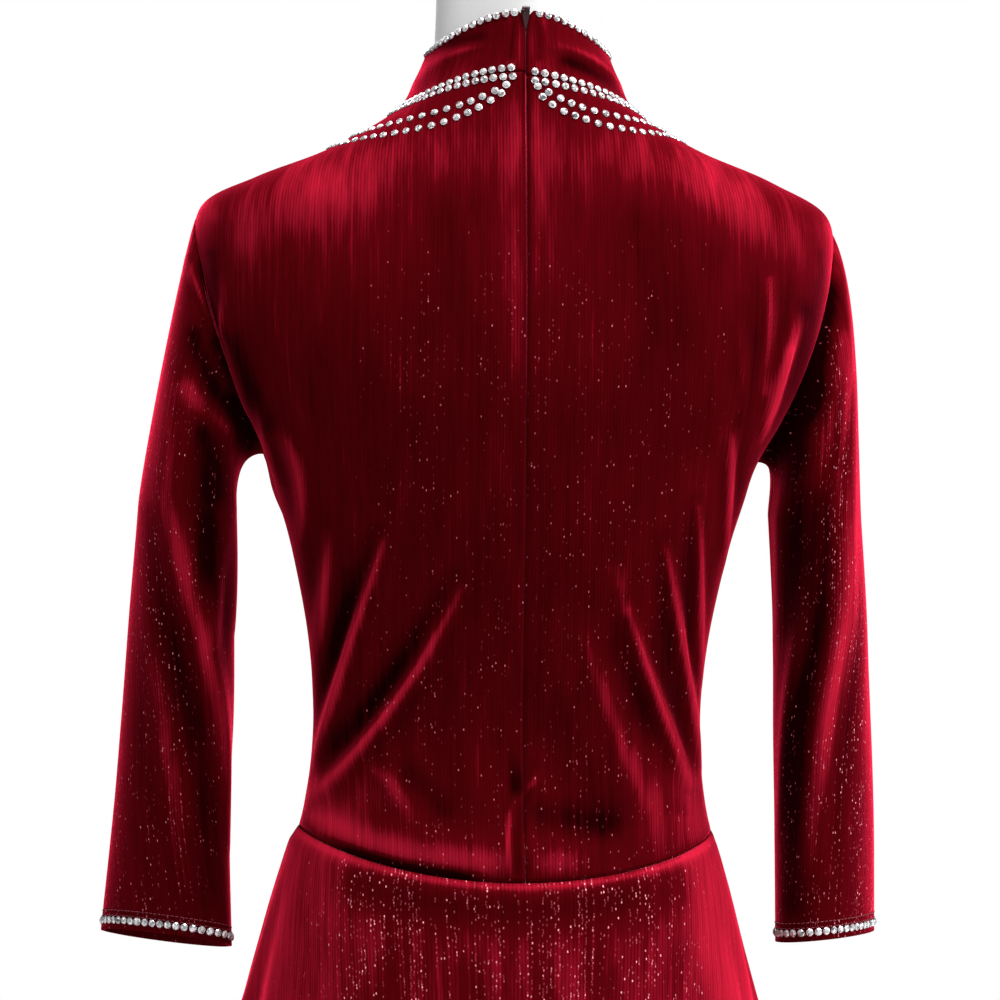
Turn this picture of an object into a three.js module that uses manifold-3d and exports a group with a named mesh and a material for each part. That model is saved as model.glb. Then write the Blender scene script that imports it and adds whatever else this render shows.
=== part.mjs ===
// A figure skating dress of ribbed stretch velvet on a limbless dress form with a table stand.
// Long bodice in a front and two backs, funnel collar, three-quarter sleeves, flared skirt and hidden zip.
// Millimetres, +Z up. The dress faces -Y and its wearer's left is +X. The origin is under the stand's plate.
import * as THREE from "three";
import Module from "manifold-3d";

const wasm = await Module();
wasm.setup();

// ---- Driving sizes ----
const NAPE = 960; // height of the datum at the nape; heights in the tables below are measured from it
const WALL = 1.6; // the velvet's thickness
const SEAM_GAP = 0.3;
const SEAM = { side: -457, centre: -483 }; // the low waist seam, which dips at the centre front and back
const HEM = -738;
const BACK_COLUMNS = 18;
const FRONT_COLUMNS = 20;
const ARMHOLE_ROWS = 10;

// ---- The bodice and collar as rings, from the hips to the collar's top edge ----
// side, front, back: the ring's height at the side and at the centre front and back.
// wide: half its width. frontY, backY: the centre front and back.
// square: 2 for an ellipse, more for a squarer ring.
const BODY = [
  { side: -650, front: -650, back: -650, wide: 156, frontY: -101, backY: 113, square: 2.2 },
  { side: -600, front: -600, back: -600, wide: 160, frontY: -107, backY: 119, square: 2.2 },
  { side: -540, front: -540, back: -540, wide: 152, frontY: -107, backY: 108, square: 2.2 },
  { side: -480, front: -480, back: -480, wide: 135, frontY: -100, backY: 89, square: 2.15 },
  { side: -440, front: -440, back: -440, wide: 124, frontY: -96, backY: 78, square: 2.15 },
  { side: -390, front: -390, back: -390, wide: 120, frontY: -94, backY: 73, square: 2.15 },
  { side: -340, front: -340, back: -340, wide: 124, frontY: -102, backY: 80, square: 2.2 },
  { side: -290, front: -290, back: -290, wide: 134, frontY: -115, backY: 91, square: 2.25 },
  { side: -255, front: -252, back: -255, wide: 144, frontY: -121, backY: 98, square: 2.3 },
  { side: -228, front: -216, back: -222, wide: 153, frontY: -120, backY: 102, square: 2.35 },
  { side: -190, front: -183, back: -188, wide: 175, frontY: -111, backY: 105, square: 2.5 },
  { side: -150, front: -154, back: -155, wide: 190, frontY: -102, backY: 104, square: 2.6 },
  { side: -110, front: -129, back: -122, wide: 197, frontY: -93, backY: 99, square: 2.5 },
  { side: -76, front: -109, back: -88, wide: 194, frontY: -84, backY: 91, square: 2.3 },
  { side: -57.5, front: -92, back: -58, wide: 161, frontY: -76, backY: 83, square: 2.15 },
  { side: -39.5, front: -75, back: -27, wide: 117, frontY: -68, backY: 74, square: 2.05 },
  { side: -15, front: -56, back: 5, wide: 76, frontY: -59, backY: 65, square: 2 },
  { side: 5, front: -34, back: 24, wide: 64, frontY: -53, backY: 60, square: 2 },
  { side: 23, front: -12, back: 43.5, wide: 56, frontY: -50, backY: 56, square: 2 },
];
const ARMPIT = 9;
const TIP = 12.75; // where the armhole crosses the shoulder
const NECK_SEAM = 16;
// The neck seam sags on the right of the zip: by so many levels, at an angle from the centre back.
const NECK_DIP = { angle: 0.36, spread: 0.5, drop: 0.13 };
const COLLAR_TOP = 18;
const SHOULDER_RISE = { height: 2.4, x: -142, spread: 46, from: 10, over: 2 }; // the right one stands higher
const SIDE_LINE = 0.5; // the side seams lie this far behind the rings' middle
const BUST = { angle: 0.56, spread: 0.4, height: -256, tall: 48, rise: 13 };

// ---- Folds in the backs: ridges along a curve through three points, seen from behind ----
// rise: the ridge's height. wide: half its width.
const BACK_FOLDS = [
  { x: [111, 116, 117], z: [-279, -330, -372], rise: 3, wide: 8 },
  { x: [80, 95, 115], z: [-272, -329, -400], rise: 4, wide: 9 },
  { x: [32, 72, 121], z: [-298, -388, -446], rise: 6, wide: 11 },
  { x: [146, 138, 130], z: [-212, -245, -280], rise: 3, wide: 8 },
  { x: [-116, -119, -118], z: [-257, -300, -345], rise: 3, wide: 8 },
  { x: [-98, -110, -117], z: [-286, -350, -402], rise: 4, wide: 8 },
  { x: [-64, -98, -120], z: [-298, -391, -450], rise: 5, wide: 10 },
  { x: [-136, -136, -134], z: [-212, -245, -280], rise: 3, wide: 8 },
  { x: [-178, -170, -158], z: [-150, -180, -207], rise: 4, wide: 8 },
];
const FRONT_FOLDS = [
  { x: [150, 132, 104], z: [-232, -262, -292], rise: 4, wide: 10 },
  { x: [118, 92, 64], z: [-440, -404, -380], rise: 4, wide: 10 },
  { x: [-150, -134, -108], z: [-232, -260, -286], rise: 4, wide: 10 },
  { x: [-118, -96, -70], z: [-436, -396, -366], rise: 4, wide: 10 },
];
// The bodice rolls out a little just above the waist seam.
const ROLL = { above: 17, wide: 11, rise: 4 };

// ---- The skirt as rings by height ----
const SKIRT = [
  { height: -440, wide: 127, frontY: -98, backY: 81 },
  { height: -490, wide: 138.5, frontY: -104, backY: 94 },
  { height: -540, wide: 151, frontY: -111, backY: 109 },
  { height: -590, wide: 164, frontY: -119, backY: 122 },
  { height: -640, wide: 180, frontY: -130, backY: 136 },
  { height: -690, wide: 194, frontY: -143, backY: 150 },
  { height: -740, wide: 207, frontY: -157, backY: 163 },
  { height: -790, wide: 219, frontY: -170, backY: 175 },
];
const FLUTES = { count: 12, rise: 15, start: 0.16 };
const LIP = { most: 3, right: 1 }; // how far the skirt stands proud of the bodice below the seam
const SKIRT_COLUMNS = 42; // in each half
const SKIRT_ROWS = 7;

// ---- The sleeves as flat tubes that hang from the armholes, by height ----
// x, y: the middle. thick, wide: half of the tube across and along its flat.
// turn: how far the flat is turned, in degrees.
const SLEEVES = {
  left: [
    { height: -262, x: 199.5, y: -2, thick: 30.5, wide: 54, turn: 2 },
    { height: -325, x: 202, y: -3, thick: 31, wide: 52, turn: 13 },
    { height: -390, x: 203.5, y: -5, thick: 30.5, wide: 50, turn: 25 },
    { height: -455, x: 206.5, y: -8, thick: 29, wide: 48, turn: 34 },
    { height: -528, x: 208.5, y: -11, thick: 28, wide: 47, turn: 51 },
  ],
  right: [
    { height: -262, x: 190.5, y: -2, thick: 28.5, wide: 54, turn: 0 },
    { height: -325, x: 195, y: -3, thick: 29.5, wide: 52, turn: 5 },
    { height: -390, x: 198, y: -5, thick: 30, wide: 50, turn: 17 },
    { height: -455, x: 201, y: -8, thick: 29.5, wide: 48, turn: 24 },
    { height: -523.5, x: 203, y: -11, thick: 28, wide: 47, turn: 29.5 },
  ],
};
// Long soft ridges on the sleeves. at: the place round the tube at the ridge's top and foot, in degrees from
// the outside towards the front. from, to: where it starts and ends along the sleeve.
const SLEEVE_FOLDS = {
  left: [
    { at: [-58, -118], from: 0.5, to: 4.2, rise: 4, wide: 0.3 },
    { at: [-140, -150], from: 0.2, to: 2.2, rise: 3, wide: 0.3 },
    { at: [70, 100], from: 0.6, to: 4, rise: 3, wide: 0.32 },
  ],
  right: [
    { at: [-58, -84], from: 0.5, to: 4.4, rise: 4, wide: 0.3 },
    { at: [-140, -150], from: 0.2, to: 2.2, rise: 3, wide: 0.3 },
    { at: [70, 100], from: 0.6, to: 4, rise: 3, wide: 0.32 },
  ],
};
const SLEEVE_SWELL = { left: 24, right: 77 }; // how roundly each sleeve leaves the shoulder's tip
const CUFF_SLANT = { left: 6.5, right: 3 }; // how much higher each cuff is outside than in its middle
const REACH = { back: 0.36, front: 0.54 }; // how far the armhole cuts in from the side line, in radians
const SLEEVE_CAP_ROWS = 7;
const SLEEVE_ROWS = 11;

// ---- The dress form: how far it lies inside the velvet, and its own neck ----
const EASE = { shoulder: 0.6, side: 3.5, centre: 4 };
const FORM_NECK = [
  { side: -20, front: -62, back: 3, wide: 67, frontY: -50, backY: 56, square: 2 },
  { side: -2, front: -38, back: 20, wide: 56, frontY: -45, backY: 51.5, square: 2 },
  { side: 22, front: -2, back: 40, wide: 52, frontY: -43, backY: 49, square: 2 },
  { side: 56, front: 48, back: 62, wide: 51, frontY: -44, backY: 48, square: 2 },
  { side: 88, front: 88, back: 88, wide: 50.5, frontY: -45, backY: 47, square: 2 },
];
const FORM_COLUMNS = 36;
const NECK_CAP = { rise: 5, inset: 6 };
const POLE_RADIUS = 11;
const PLATE = { radius: 150, thick: 9, edge: 2 };

// ---- The zip ----
const CENTRE_DRIFT = 5.5; // how far the centre back seam wanders to the right on its way down
const TAPE = { wide: 14, thick: 0.8, gap: 0.35, top: 38, bottom: -446, rows: 26 };
const PIVOT = { y: 57.2, height: 44.2 };
const PIN_RADIUS = 0.5;
const SLIDER = { wide: 5.4, thick: 2.4, tall: 8, behind: 4.4, lean: 0.2 };
const EAR = { inside: 1.45, outside: 2.3, tall: 2.2, proud: 1 };
const PULL = { thick: 1, eye: 0.8, barrel: 1.45, neck: 1.1, shoulder: 1.9, tip: 0.35, length: 12.7 };

// ---- Small helpers ----
const lerp = (a, b, t) => a + (b - a) * t;
const clamp = (t) => Math.min(1, Math.max(0, t));
const ease = (t) => clamp(t) * clamp(t) * (3 - 2 * clamp(t));
const bump = (distance, wide) => Math.exp(-((distance / wide) ** 2));

// The value of a table's column between its rows, on a smooth curve through them.
function column(rows, name, at) {
  const k = Math.min(rows.length - 2, Math.max(0, Math.floor(at)));
  const t = at - k;
  const value = (i) => rows[Math.min(rows.length - 1, Math.max(0, i))][name];
  const [a, b, c, d] = [value(k - 1), value(k), value(k + 1), value(k + 2)];
  return b + 0.5 * t * (c - a + t * (2 * a - 5 * b + 4 * c - d + t * (3 * (b - c) + d - a)));
}

// Where a height falls between the rows of a table of evenly spaced heights.
function rowAt(rows, height) {
  return (height - rows[0].height) / (rows[1].height - rows[0].height);
}

// A point on a ring. The angle is 0 at the centre front and a quarter turn at the left side.
function ringPoint(ring, angle) {
  const s = Math.sin(angle);
  const c = -Math.cos(angle);
  const fit = (Math.abs(s) ** ring.square + Math.abs(c) ** ring.square) ** (-1 / ring.square);
  const deep = c > 0 ? ring.backY - SIDE_LINE : SIDE_LINE - ring.frontY;
  const end = c > 0 ? ring.back : ring.front;
  return new THREE.Vector3(
    ring.wide * fit * s,
    SIDE_LINE + deep * fit * c,
    NAPE + ring.side + (end - ring.side) * Math.abs(c) ** 2.4,
  );
}

// A ring of a table, between its rows.
function ringAt(rows, at) {
  const ring = {};
  for (const name of ["side", "front", "back", "wide", "frontY", "backY", "square"]) {
    ring[name] = column(rows, name, at);
  }
  return ring;
}

// The outward normal of a surface given by a function of two numbers.
function normalOf(surface, a, b) {
  const step = 1e-3;
  const across = surface(a + step, b).sub(surface(a - step, b));
  const along = surface(a, b + step).sub(surface(a, b - step));
  return across.cross(along).normalize();
}

function offset(surface, a, b, distance) {
  return surface(a, b).addScaledVector(normalOf(surface, a, b), distance);
}

// The height of a fold's ridge at a place seen from the front or the back.
function ridge(fold, x, z) {
  let nearest = Infinity;
  let share = 0;
  const steps = 16;
  for (let i = 0; i <= steps; i++) {
    const t = i / steps;
    const [p, q, r] = [(1 - t) * (1 - 2 * t), 4 * t * (1 - t), t * (2 * t - 1)];
    const dx = x - (p * fold.x[0] + q * fold.x[1] + r * fold.x[2]);
    const dz = z - (p * fold.z[0] + q * fold.z[1] + r * fold.z[2]);
    const distance = Math.hypot(dx, dz);
    if (distance < nearest) {
      nearest = distance;
      share = t;
    }
  }
  return fold.rise * bump(nearest, fold.wide) * Math.sqrt(Math.sin(Math.PI * lerp(0.08, 0.92, share)));
}

// ---- The surfaces ----
// The smooth torso that the bodice and collar follow.
function torso(angle, level) {
  const point = ringPoint(ringAt(BODY, level), angle);
  const turn = Math.abs(Math.atan2(Math.sin(angle), Math.cos(angle)));
  const cup = bump(turn - BUST.angle, BUST.spread) * bump(point.z - NAPE - BUST.height, BUST.tall);
  point.y -= BUST.rise * cup;
  const shoulder = ease((level - SHOULDER_RISE.from) / SHOULDER_RISE.over);
  point.z += SHOULDER_RISE.height * shoulder * bump(point.x - SHOULDER_RISE.x, SHOULDER_RISE.spread);
  return point;
}

function seamHeight(angle) {
  return NAPE + lerp(SEAM.side, SEAM.centre, Math.cos(angle) ** 2);
}

// The level of the torso at a height, below the armpits.
function levelAt(height, angle) {
  let [low, high] = [0, ARMPIT];
  for (let i = 0; i < 30; i++) {
    const middle = (low + high) / 2;
    if (torso(angle, middle).z < height) low = middle;
    else high = middle;
  }
  return low;
}

// The level of the neck seam round the neck.
function neckSeam(angle) {
  if (Math.sin(angle) >= 0) return NECK_SEAM;
  const fromBack = Math.abs(Math.atan2(Math.sin(angle), -Math.cos(angle)));
  return NECK_SEAM - NECK_DIP.drop * bump(fromBack - NECK_DIP.angle, NECK_DIP.spread);
}

// The bodice's outside: the torso with its folds and the roll above the waist seam.
function bodice(angle, level) {
  const point = torso(angle, level);
  const height = point.z - NAPE;
  const folds = Math.cos(angle) < 0 ? BACK_FOLDS : FRONT_FOLDS;
  const inside = ease(Math.abs(Math.cos(angle)) / 0.25);
  let rise = 0;
  for (const fold of folds) rise = Math.max(rise, inside * ridge(fold, point.x, height));
  const above = point.z - seamHeight(angle) - ROLL.above;
  rise += ROLL.rise * bump(above, ROLL.wide) * Math.cos(angle) ** 2;
  return rise > 0.01 ? point.addScaledVector(normalOf(torso, angle, level), rise) : point;
}

// The skirt's outside, from the hem at 0 to the waist seam at 1.
function skirt(angle, up) {
  const share = 1 - up;
  const top = seamHeight(angle) - SEAM_GAP / 2;
  const height = lerp(top, NAPE + HEM, share) - NAPE;
  const at = rowAt(SKIRT, height);
  const ring = { side: height, front: height, back: height, square: 2.1 };
  for (const name of ["wide", "frontY", "backY"]) ring[name] = column(SKIRT, name, at);
  const free = ringPoint(ring, angle);
  const held = torso(angle, levelAt(height + NAPE, angle));
  const point = held.lerp(free, ease((top - NAPE - height) / 70));
  const away = new THREE.Vector3(Math.sin(angle), -Math.cos(angle), 0);
  const grown = ease((share - FLUTES.start) / (1 - FLUTES.start)) ** 1.2;
  const uneven = 1 + 0.22 * Math.sin(3 * angle + 1);
  const wave = Math.cos(FLUTES.count * angle + 0.7 * Math.sin(2 * angle + 0.6));
  const lip = lerp(LIP.most, LIP.right, Math.max(0, -Math.sin(angle)) ** 2);
  const proud = lip * ease((top - NAPE - height) / 9);
  return point.addScaledVector(away, FLUTES.rise * grown * uneven * wave + proud);
}

// How far the armhole's edge lies from the side line at a level of the bodice, in radians.
function armhole(level, reach) {
  const t = clamp((level - ARMPIT) / (TIP - ARMPIT));
  return reach * Math.sin(Math.PI * t ** 0.9) ** 0.6;
}

// A sleeve's outside, drawn as if on the left: side is -1 for the right sleeve, mirrored afterwards.
// place is 0 on the outside and a quarter turn at the front. along is 0 at the armhole, 1 at the first row
// of its table and one more for each row after it.
function sleeve(side, rows) {
  const cuffSlant = side > 0 ? CUFF_SLANT.left : CUFF_SLANT.right;
  const ring = (place, at) => {
    const turned = (column(rows, "turn", at) * Math.PI) / 180;
    const x = column(rows, "thick", at) * Math.cos(place);
    const y = -column(rows, "wide", at) * Math.sin(place);
    const height = column(rows, "height", at);
    const slant = cuffSlant * Math.cos(place) * ease(at / (rows.length - 1));
    return new THREE.Vector3(
      column(rows, "x", at) + x * Math.cos(turned) - y * Math.sin(turned),
      column(rows, "y", at) + x * Math.sin(turned) + y * Math.cos(turned),
      NAPE + height + slant,
    );
  };
  const smooth = (place, along) => {
    if (along > 1) return ring(place, along - 1);
    const level = ARMPIT + (TIP - ARMPIT) * (0.5 + 0.5 * Math.cos(place));
    const [c, s] = [Math.cos(place), Math.sin(place)];
    const reach = armhole(level, s < 0 ? REACH.back : REACH.front);
    const start = bodice(side * (Math.PI / 2 - Math.sign(s) * reach), level);
    start.x *= side;
    const out = new THREE.Vector3(0.85 - 0.15 * c * (1 + c), -0.55 * s, -c * (0.41 + 0.37 * c)).normalize();
    start.addScaledVector(out, SEAM_GAP);
    const end = ring(place, 0);
    const swell = side > 0 ? SLEEVE_SWELL.left : SLEEVE_SWELL.right;
    const leave = out.multiplyScalar(lerp(52, swell, 0.5 + 0.5 * c));
    const arrive = ring(place, 0.05).sub(end).multiplyScalar(20 * lerp(0.95, 2.2, 0.5 + 0.5 * c));
    const [t, u] = [along, along * along];
    return start
      .multiplyScalar(1 + u * (2 * t - 3))
      .addScaledVector(leave, t * (1 - t) ** 2)
      .addScaledVector(end, u * (3 - 2 * t))
      .addScaledVector(arrive, u * (t - 1));
  };
  const folds = side > 0 ? SLEEVE_FOLDS.left : SLEEVE_FOLDS.right;
  return (place, along) => {
    const point = smooth(place, along);
    let rise = 0;
    for (const fold of folds) {
      const share = (along - fold.from) / (fold.to - fold.from);
      if (share <= 0 || share >= 1) continue;
      const middle = (lerp(fold.at[0], fold.at[1], share) * Math.PI) / 180;
      const apart = Math.atan2(Math.sin(place - middle), Math.cos(place - middle));
      rise += fold.rise * bump(apart, fold.wide) * Math.sin(Math.PI * share) ** 0.7;
    }
    return rise > 0.01 ? point.addScaledVector(normalOf(smooth, place, along), rise) : point;
  };
}

// ---- Solids ----
// A closed wall from a grid of outer and a grid of inner points. A tube's columns close on themselves.
function wall(outer, inner, tube) {
  const rows = outer.length;
  const columns = outer[0].length;
  const positions = [...outer.flat(), ...inner.flat()].flatMap((p) => [p.x, p.y, p.z]);
  const index = [];
  const quad = (a, b, c, d) => index.push(a, b, c, a, c, d);
  const out = (j, i) => j * columns + (i % columns);
  const inn = (j, i) => rows * columns + out(j, i);
  const spans = tube ? columns : columns - 1;
  for (let j = 0; j < rows - 1; j++) {
    for (let i = 0; i < spans; i++) {
      quad(out(j, i), out(j, i + 1), out(j + 1, i + 1), out(j + 1, i));
      quad(inn(j, i), inn(j + 1, i), inn(j + 1, i + 1), inn(j, i + 1));
    }
  }
  for (let i = 0; i < spans; i++) {
    quad(out(0, i), inn(0, i), inn(0, i + 1), out(0, i + 1));
    quad(out(rows - 1, i), out(rows - 1, i + 1), inn(rows - 1, i + 1), inn(rows - 1, i));
  }
  if (!tube) {
    for (let j = 0; j < rows - 1; j++) {
      quad(out(j, 0), out(j + 1, 0), inn(j + 1, 0), inn(j, 0));
      quad(out(j, spans), inn(j, spans), inn(j + 1, spans), out(j + 1, spans));
    }
  }
  const geometry = new THREE.BufferGeometry();
  geometry.setAttribute("position", new THREE.Float32BufferAttribute(positions, 3));
  return geometry.setIndex(index);
}

// A cloth wall over a surface. place(i, j) gives the surface's two numbers for column i and row j.
function cloth(surface, columns, rows, place, { tube = false, near = 0, thick = WALL } = {}) {
  const grid = (depth) =>
    Array.from({ length: rows + 1 }, (_, j) =>
      Array.from({ length: tube ? columns : columns + 1 }, (_, i) =>
        offset(surface, ...place(i, j), -depth),
      ),
    );
  return wall(grid(near), grid(near + thick), tube);
}

// How far a seam's half gap is, as an angle of the bodice.
function gapAngle(angle, level, gap = SEAM_GAP) {
  const step = 1e-3;
  return (gap * step) / torso(angle + step, level).distanceTo(torso(angle - step, level));
}

// The bodice's rows from the waist seam to the neck seam: to the armpit, up the armhole, along the shoulder.
const LOW_ROWS = 14;
const SHOULDER_ROWS = 6;
const BODICE_ROWS = LOW_ROWS + ARMHOLE_ROWS + SHOULDER_ROWS;
function bodiceLevel(angle, row) {
  const start = levelAt(seamHeight(angle) + SEAM_GAP / 2, angle);
  if (row <= LOW_ROWS) return lerp(start, ARMPIT, row / LOW_ROWS);
  const up = (row - LOW_ROWS) / ARMHOLE_ROWS;
  if (up <= 1) return ARMPIT + (TIP - ARMPIT) * (0.5 - 0.5 * Math.cos(Math.PI * up));
  return lerp(TIP, neckSeam(angle) - 0.007, (row - LOW_ROWS - ARMHOLE_ROWS) / SHOULDER_ROWS);
}

// The centre back seam's angle at a level.
function centreBack(level) {
  const down = ease((ARMPIT + 2 - level) / ARMPIT);
  return Math.PI + (CENTRE_DRIFT * down) / column(BODY, "wide", level);
}

// A back or half front: share is 0 at the side seam, armhole and shoulder seam and 1 at the centre line.
function panelAngle(share, row, back, side) {
  const rough = bodiceLevel(Math.PI / 2, row);
  const gap = gapAngle(Math.PI / 2, rough);
  const edge = Math.max(gap, armhole(rough, back ? REACH.back : REACH.front));
  if (!back) return side * lerp(Math.PI / 2 - edge, 0, share);
  const centre = Math.PI + side * (centreBack(rough) - Math.PI) - gapAngle(Math.PI, rough);
  return side * lerp(Math.PI / 2 + edge, centre, share);
}

function backPanel(side) {
  return cloth(bodice, BACK_COLUMNS, BODICE_ROWS, (i, j) => {
    const share = i / BACK_COLUMNS;
    const angle = panelAngle(side > 0 ? share : 1 - share, j, true, side);
    return [angle, bodiceLevel(angle, j)];
  });
}

function frontPanel() {
  return cloth(bodice, FRONT_COLUMNS, BODICE_ROWS, (i, j) => {
    const across = (2 * i) / FRONT_COLUMNS - 1;
    const angle = panelAngle(1 - Math.abs(across), j, false, Math.sign(across));
    return [angle, bodiceLevel(angle, j)];
  });
}

// The collar runs from the zip round the front and back to it, and its corners are cut away at the zip.
// up: a row's share of the collar's height. half: half the opening at the zip.
const NOTCH = [
  { up: 0, half: 0.15 },
  { up: 0.35, half: 0.15 },
  { up: 0.62, half: 0.2 },
  { up: 0.7, half: 0.8 },
  { up: 0.8, half: 1.6 },
  { up: 0.91, half: 2.7 },
  { up: 1, half: 5.2 },
];
function collar() {
  const half = BACK_COLUMNS + FRONT_COLUMNS / 2;
  return cloth(bodice, 2 * half, NOTCH.length - 1, (i, j) => {
    const upright = lerp(NECK_SEAM, COLLAR_TOP, NOTCH[j].up);
    const edge = Math.PI - gapAngle(Math.PI, upright, 2 * NOTCH[j].half);
    const across = i / half - 1;
    const frontShare = FRONT_COLUMNS / 2 / half;
    const turn = Math.abs(across);
    const angle =
      turn < frontShare
        ? (turn / frontShare) * (Math.PI / 2)
        : lerp(Math.PI / 2, edge, (turn - frontShare) / (1 - frontShare));
    const around = Math.sign(across) * angle;
    return [around, lerp(neckSeam(around) + 0.007, COLLAR_TOP, NOTCH[j].up)];
  });
}

function skirtPanel(back) {
  return cloth(skirt, SKIRT_COLUMNS, SKIRT_ROWS, (i, j) => {
    const gap = SEAM_GAP / 2 / 140;
    const from = back ? Math.PI / 2 + gap : -Math.PI / 2 + gap;
    return [lerp(from, from + Math.PI - 2 * gap, i / SKIRT_COLUMNS), j / SKIRT_ROWS];
  });
}

// A right sleeve is its own table's left sleeve, mirrored.
function sleeveTube(side) {
  const rows = side > 0 ? SLEEVES.left : SLEEVES.right;
  const surface = sleeve(side, rows);
  const columns = 2 * ARMHOLE_ROWS;
  const last = SLEEVE_CAP_ROWS + SLEEVE_ROWS;
  const geometry = cloth(
    surface,
    columns,
    last,
    (i, j) => {
      const below = j - SLEEVE_CAP_ROWS;
      const along = below <= 0 ? j / SLEEVE_CAP_ROWS : 1 + (below * (rows.length - 1)) / SLEEVE_ROWS;
      return [(2 * Math.PI * i) / columns, along];
    },
    { tube: true },
  );
  return side > 0 ? geometry : mirrored(geometry);
}

function mirrored(geometry) {
  geometry.scale(-1, 1, 1);
  const index = geometry.index.array;
  for (let i = 0; i < index.length; i += 3) [index[i + 1], index[i + 2]] = [index[i + 2], index[i + 1]];
  return geometry;
}

// The dress form is the torso drawn in, with its own neck, closed by flat ends.
function dressForm() {
  const depth = (angle, level) => {
    const sideways = Math.sin(angle) ** 8;
    const shoulder = ease((level - TIP + 0.35) / 1.2) * sideways;
    const slack = lerp(EASE.centre, EASE.side, Math.sin(angle) ** 2);
    return WALL + lerp(slack, EASE.shoulder, shoulder);
  };
  const around = Array.from({ length: FORM_COLUMNS }, (_, i) => (2 * Math.PI * i) / FORM_COLUMNS);
  const levels = [0, 1, 2, 3, 4, 5, 6, 7, 8, 8.7, 9.5, 10.5, 11.5, 12.3, 12.8, 13.2, 13.7, 14.3, 15];
  const skin = (angle, level) => offset(torso, angle, level, -depth(angle, level));
  const rings = levels.map((level) => around.map((angle) => skin(angle, level)));
  const necks = [0, 0.7, 1.5, 2.2, 3, 4].map((at) => ringAt(FORM_NECK, at));
  const cap = { ...necks[5] };
  cap.wide -= NECK_CAP.inset;
  cap.frontY += NECK_CAP.inset;
  cap.backY -= NECK_CAP.inset;
  for (const name of ["side", "front", "back"]) cap[name] += NECK_CAP.rise;
  for (const ring of [...necks, cap]) rings.push(around.map((angle) => ringPoint(ring, angle)));
  return closedRings(rings);
}

// A closed solid through rings from the bottom up, with a fan over each end.
function closedRings(rings) {
  const columns = rings[0].length;
  const positions = rings.flat().flatMap((p) => [p.x, p.y, p.z]);
  const index = [];
  for (let j = 0; j < rings.length - 1; j++) {
    for (let i = 0; i < columns; i++) {
      const [a, b] = [j * columns + i, j * columns + ((i + 1) % columns)];
      index.push(a, b, b + columns, a, b + columns, a + columns);
    }
  }
  const last = (rings.length - 1) * columns;
  for (let i = 1; i < columns - 1; i++) {
    index.push(0, i + 1, i);
    index.push(last, last + i, last + i + 1);
  }
  const geometry = new THREE.BufferGeometry();
  geometry.setAttribute("position", new THREE.Float32BufferAttribute(positions, 3));
  return geometry.setIndex(index);
}

function standPole() {
  const [low, high] = [PLATE.thick + SEAM_GAP, NAPE + BODY[0].side - SEAM_GAP];
  const pole = new THREE.CylinderGeometry(POLE_RADIUS, POLE_RADIUS, high - low, 24);
  return pole.rotateX(Math.PI / 2).translate(0, 0, (low + high) / 2);
}

function standPlate() {
  const profile = [
    [0, 0],
    [PLATE.radius, 0],
    [PLATE.radius, PLATE.thick - PLATE.edge],
    [PLATE.radius - PLATE.edge, PLATE.thick],
    [0, PLATE.thick],
  ].map(([x, y]) => new THREE.Vector2(x, y));
  return new THREE.LatheGeometry(profile, 48).rotateX(Math.PI / 2);
}

// The zip's tape closes the centre back seam from inside, under the backs and the collar.
function zipTape() {
  const levelOf = (height) => {
    let [low, high] = [2, COLLAR_TOP];
    for (let i = 0; i < 30; i++) {
      const middle = (low + high) / 2;
      if (torso(Math.PI, middle).z < height) low = middle;
      else high = middle;
    }
    return low;
  };
  const columns = 4;
  const place = (i, j) => {
    const level = levelOf(NAPE + lerp(TAPE.bottom, TAPE.top, j / TAPE.rows));
    const half = gapAngle(Math.PI, level, TAPE.wide);
    return [centreBack(level) + lerp(-half, half, i / columns), level];
  };
  return cloth(bodice, columns, TAPE.rows, place, { near: WALL + TAPE.gap, thick: TAPE.thick });
}

// A closed geometry as a manifold solid, and back.
function solid(geometry) {
  const position = (geometry.index ? geometry.toNonIndexed() : geometry).getAttribute("position");
  const points = new Map();
  const vertices = [];
  const triangles = [];
  for (let i = 0; i < position.count; i++) {
    const p = [position.getX(i), position.getY(i), position.getZ(i)];
    const key = p.map((value) => value.toFixed(4)).join();
    if (!points.has(key)) {
      points.set(key, points.size);
      vertices.push(...p);
    }
    triangles.push(points.get(key));
  }
  const faces = [];
  for (let i = 0; i < triangles.length; i += 3) {
    const [a, b, c] = triangles.slice(i, i + 3);
    if (a !== b && b !== c && c !== a) faces.push(a, b, c);
  }
  const vertProperties = new Float32Array(vertices);
  return new wasm.Manifold(new wasm.Mesh({ numProp: 3, vertProperties, triVerts: new Uint32Array(faces) }));
}

function geometryOf(made) {
  const mesh = made.getMesh();
  const geometry = new THREE.BufferGeometry();
  geometry.setAttribute("position", new THREE.BufferAttribute(mesh.vertProperties, 3));
  return geometry.setIndex(new THREE.BufferAttribute(mesh.triVerts, 1));
}

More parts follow.
